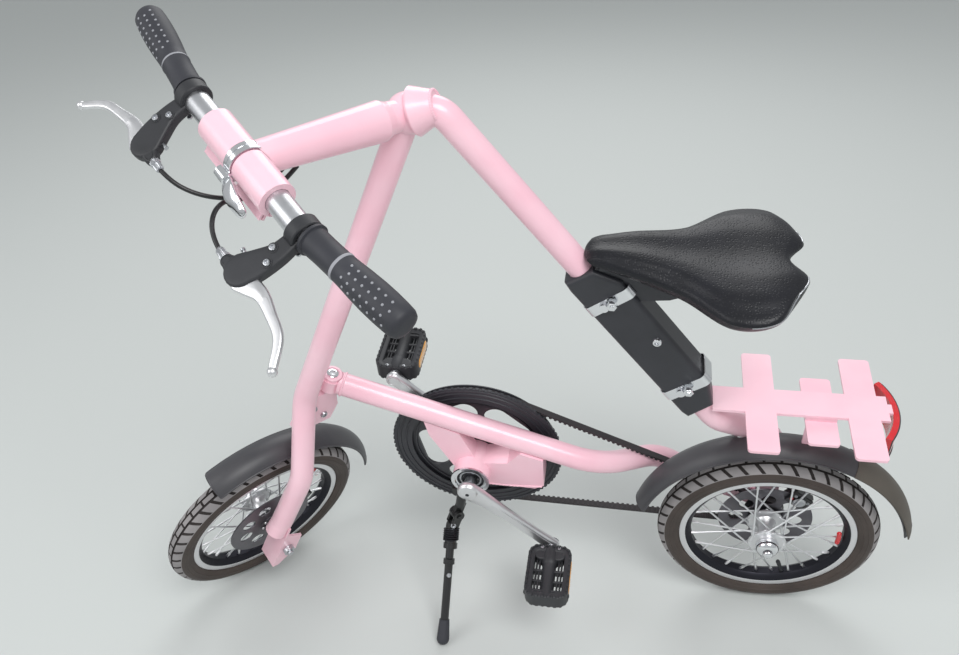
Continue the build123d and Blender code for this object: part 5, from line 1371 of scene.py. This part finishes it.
# %% [markdown]
# Where tubes meet, the paint lies over a weld bead: a ring whose thickness ripples, because each drop of
# metal froze on the last. A plain fillet would look glued, so the bead is swept round the tube and its
# radius follows a cosine, forty drops to a turn.

# %% Weld beads
BEAD = 1.9
SEAM_BEAD = 1.5
RIPPLE = 0.14
DROPS = 40
CUP_TURN = np.radians(53)
BOTTOM_TAIL = np.array([255.0, 0.0, 283.0])
HOUSING_SIDE = 19.0


def weld(centre, axis, radius):
    """A ring about an axis; the bead's radius is multiplied by 1 + 0.14 cos(40 t)."""
    turn = np.linspace(0, 2 * np.pi, 160, endpoint=False)[:, None]
    axis = unit(axis)
    start = unit(np.cross(axis, [0.3, 1.0, 0.2]))
    path = centre + radius * (np.cos(turn) * start + np.sin(turn) * np.cross(axis, start))
    return sweep(Shape(), path, BEAD * (1 + RIPPLE * np.cos(DROPS * turn[:, 0])), closed=True)


steer_forward = np.array([steer_bike[2], 0.0, -steer_bike[0]])
cup_axis = steer_bike * np.cos(CUP_TURN) - steer_forward * np.sin(CUP_TURN)
beads = weld(TOP_JOINT + 35.5 * cup_axis, cup_axis, 17.6)
piece("top_joint_weld", beads, on_bike, "rear_frame", [pink_coat])
bottom_back = unit(BOTTOM_TAIL - LOWER_JOINT)
beads = weld(LOWER_JOINT + 19 * bottom_back, bottom_back, 16.6)
for face_y in (-HOUSING_SIDE, HOUSING_SIDE):
    seam = smooth_line(BRACKET + np.array([(-106, face_y, -24), (-60, face_y, -27), (-20, face_y, -26)]), 60)
    sweep(beads, seam, SEAM_BEAD * (1 + RIPPLE * np.cos(np.arange(60) * 1.6)))
piece("bottom_tube_welds", beads, on_bike, "bottom_frame", [pink_coat])

# %% [markdown]
# The rear reflector sits in a narrow black frame. It follows the lens's curved face, which a flat ring
# would not, so it is one round section swept along the upper arc and back along the lower one.

# %% Reflector frame
REFLECTOR_RADIUS = 90.0
REFLECTOR_CENTRE = -40.0
REFLECTOR_LOW, REFLECTOR_HIGH = 401.0, 441.0
bow = np.radians(np.linspace(-35, 35, 24))
edge = np.stack([REFLECTOR_CENTRE - REFLECTOR_RADIUS * np.cos(bow), REFLECTOR_RADIUS * np.sin(bow), 0 * bow],
                axis=-1)
loop = np.concatenate([edge + [0, 0, REFLECTOR_LOW], edge[::-1] + [0, 0, REFLECTOR_HIGH]])
piece("reflector_frame", sweep(Shape(), loop, 1.2, closed=True), on_bike, "rear_frame", [nylon_plastic])

# %% [markdown]
# A pale floor and soft daylight show the form without hard shadows. Small lamps would draw sharp edges
# on the tubes, so the light comes from three large discs and a pale sky, at a level where a colour
# renders about as it is written.

# %% Floor and light
FLOOR_HALF = 8.0
floor_mesh = bpy.data.meshes.new("floor")
floor_corners = [(x * FLOOR_HALF, y * FLOOR_HALF, 0) for x, y in ((-1, -1), (1, -1), (1, 1), (-1, 1))]
floor_mesh.from_pydata(floor_corners, [], [(0, 1, 2, 3)])
floor = in_scene("floor", floor_mesh)
floor_mesh.materials.append(finish("floor", Roughness=0.8, Base_Color=colour("#c9cdcb"))[0])


def lamp(name, place, size, power, aim=(0, 0, 0.4)):
    """A large soft area lamp that faces a point: its z axis points away from it."""
    light = bpy.data.lights.new(name, "AREA")
    light.shape, light.size, light.energy = "DISK", size, power
    back = unit(np.subtract(place, aim))
    right = unit(np.cross([0, 0, 1], back))
    in_scene(name, light, np.stack([right, np.cross(back, right), back]), place)
    print(name, "of", power, "W")


lamp("key light", (-1.2, 1.8, 3.2), 2.0, 75)
lamp("fill light", (2.4, 1.6, 2.2), 2.4, 32)
lamp("back light", (0.2, -2.6, 2.6), 2.2, 30)
world = bpy.data.worlds.new("sky")
world.use_nodes = True
sky = world.node_tree.nodes["Background"].inputs
sky["Color"].default_value = colour("#f2f5f7")
sky["Strength"].default_value = 0.55
bpy.context.scene.world = world
bpy.context.scene.view_settings.view_transform = "Standard"
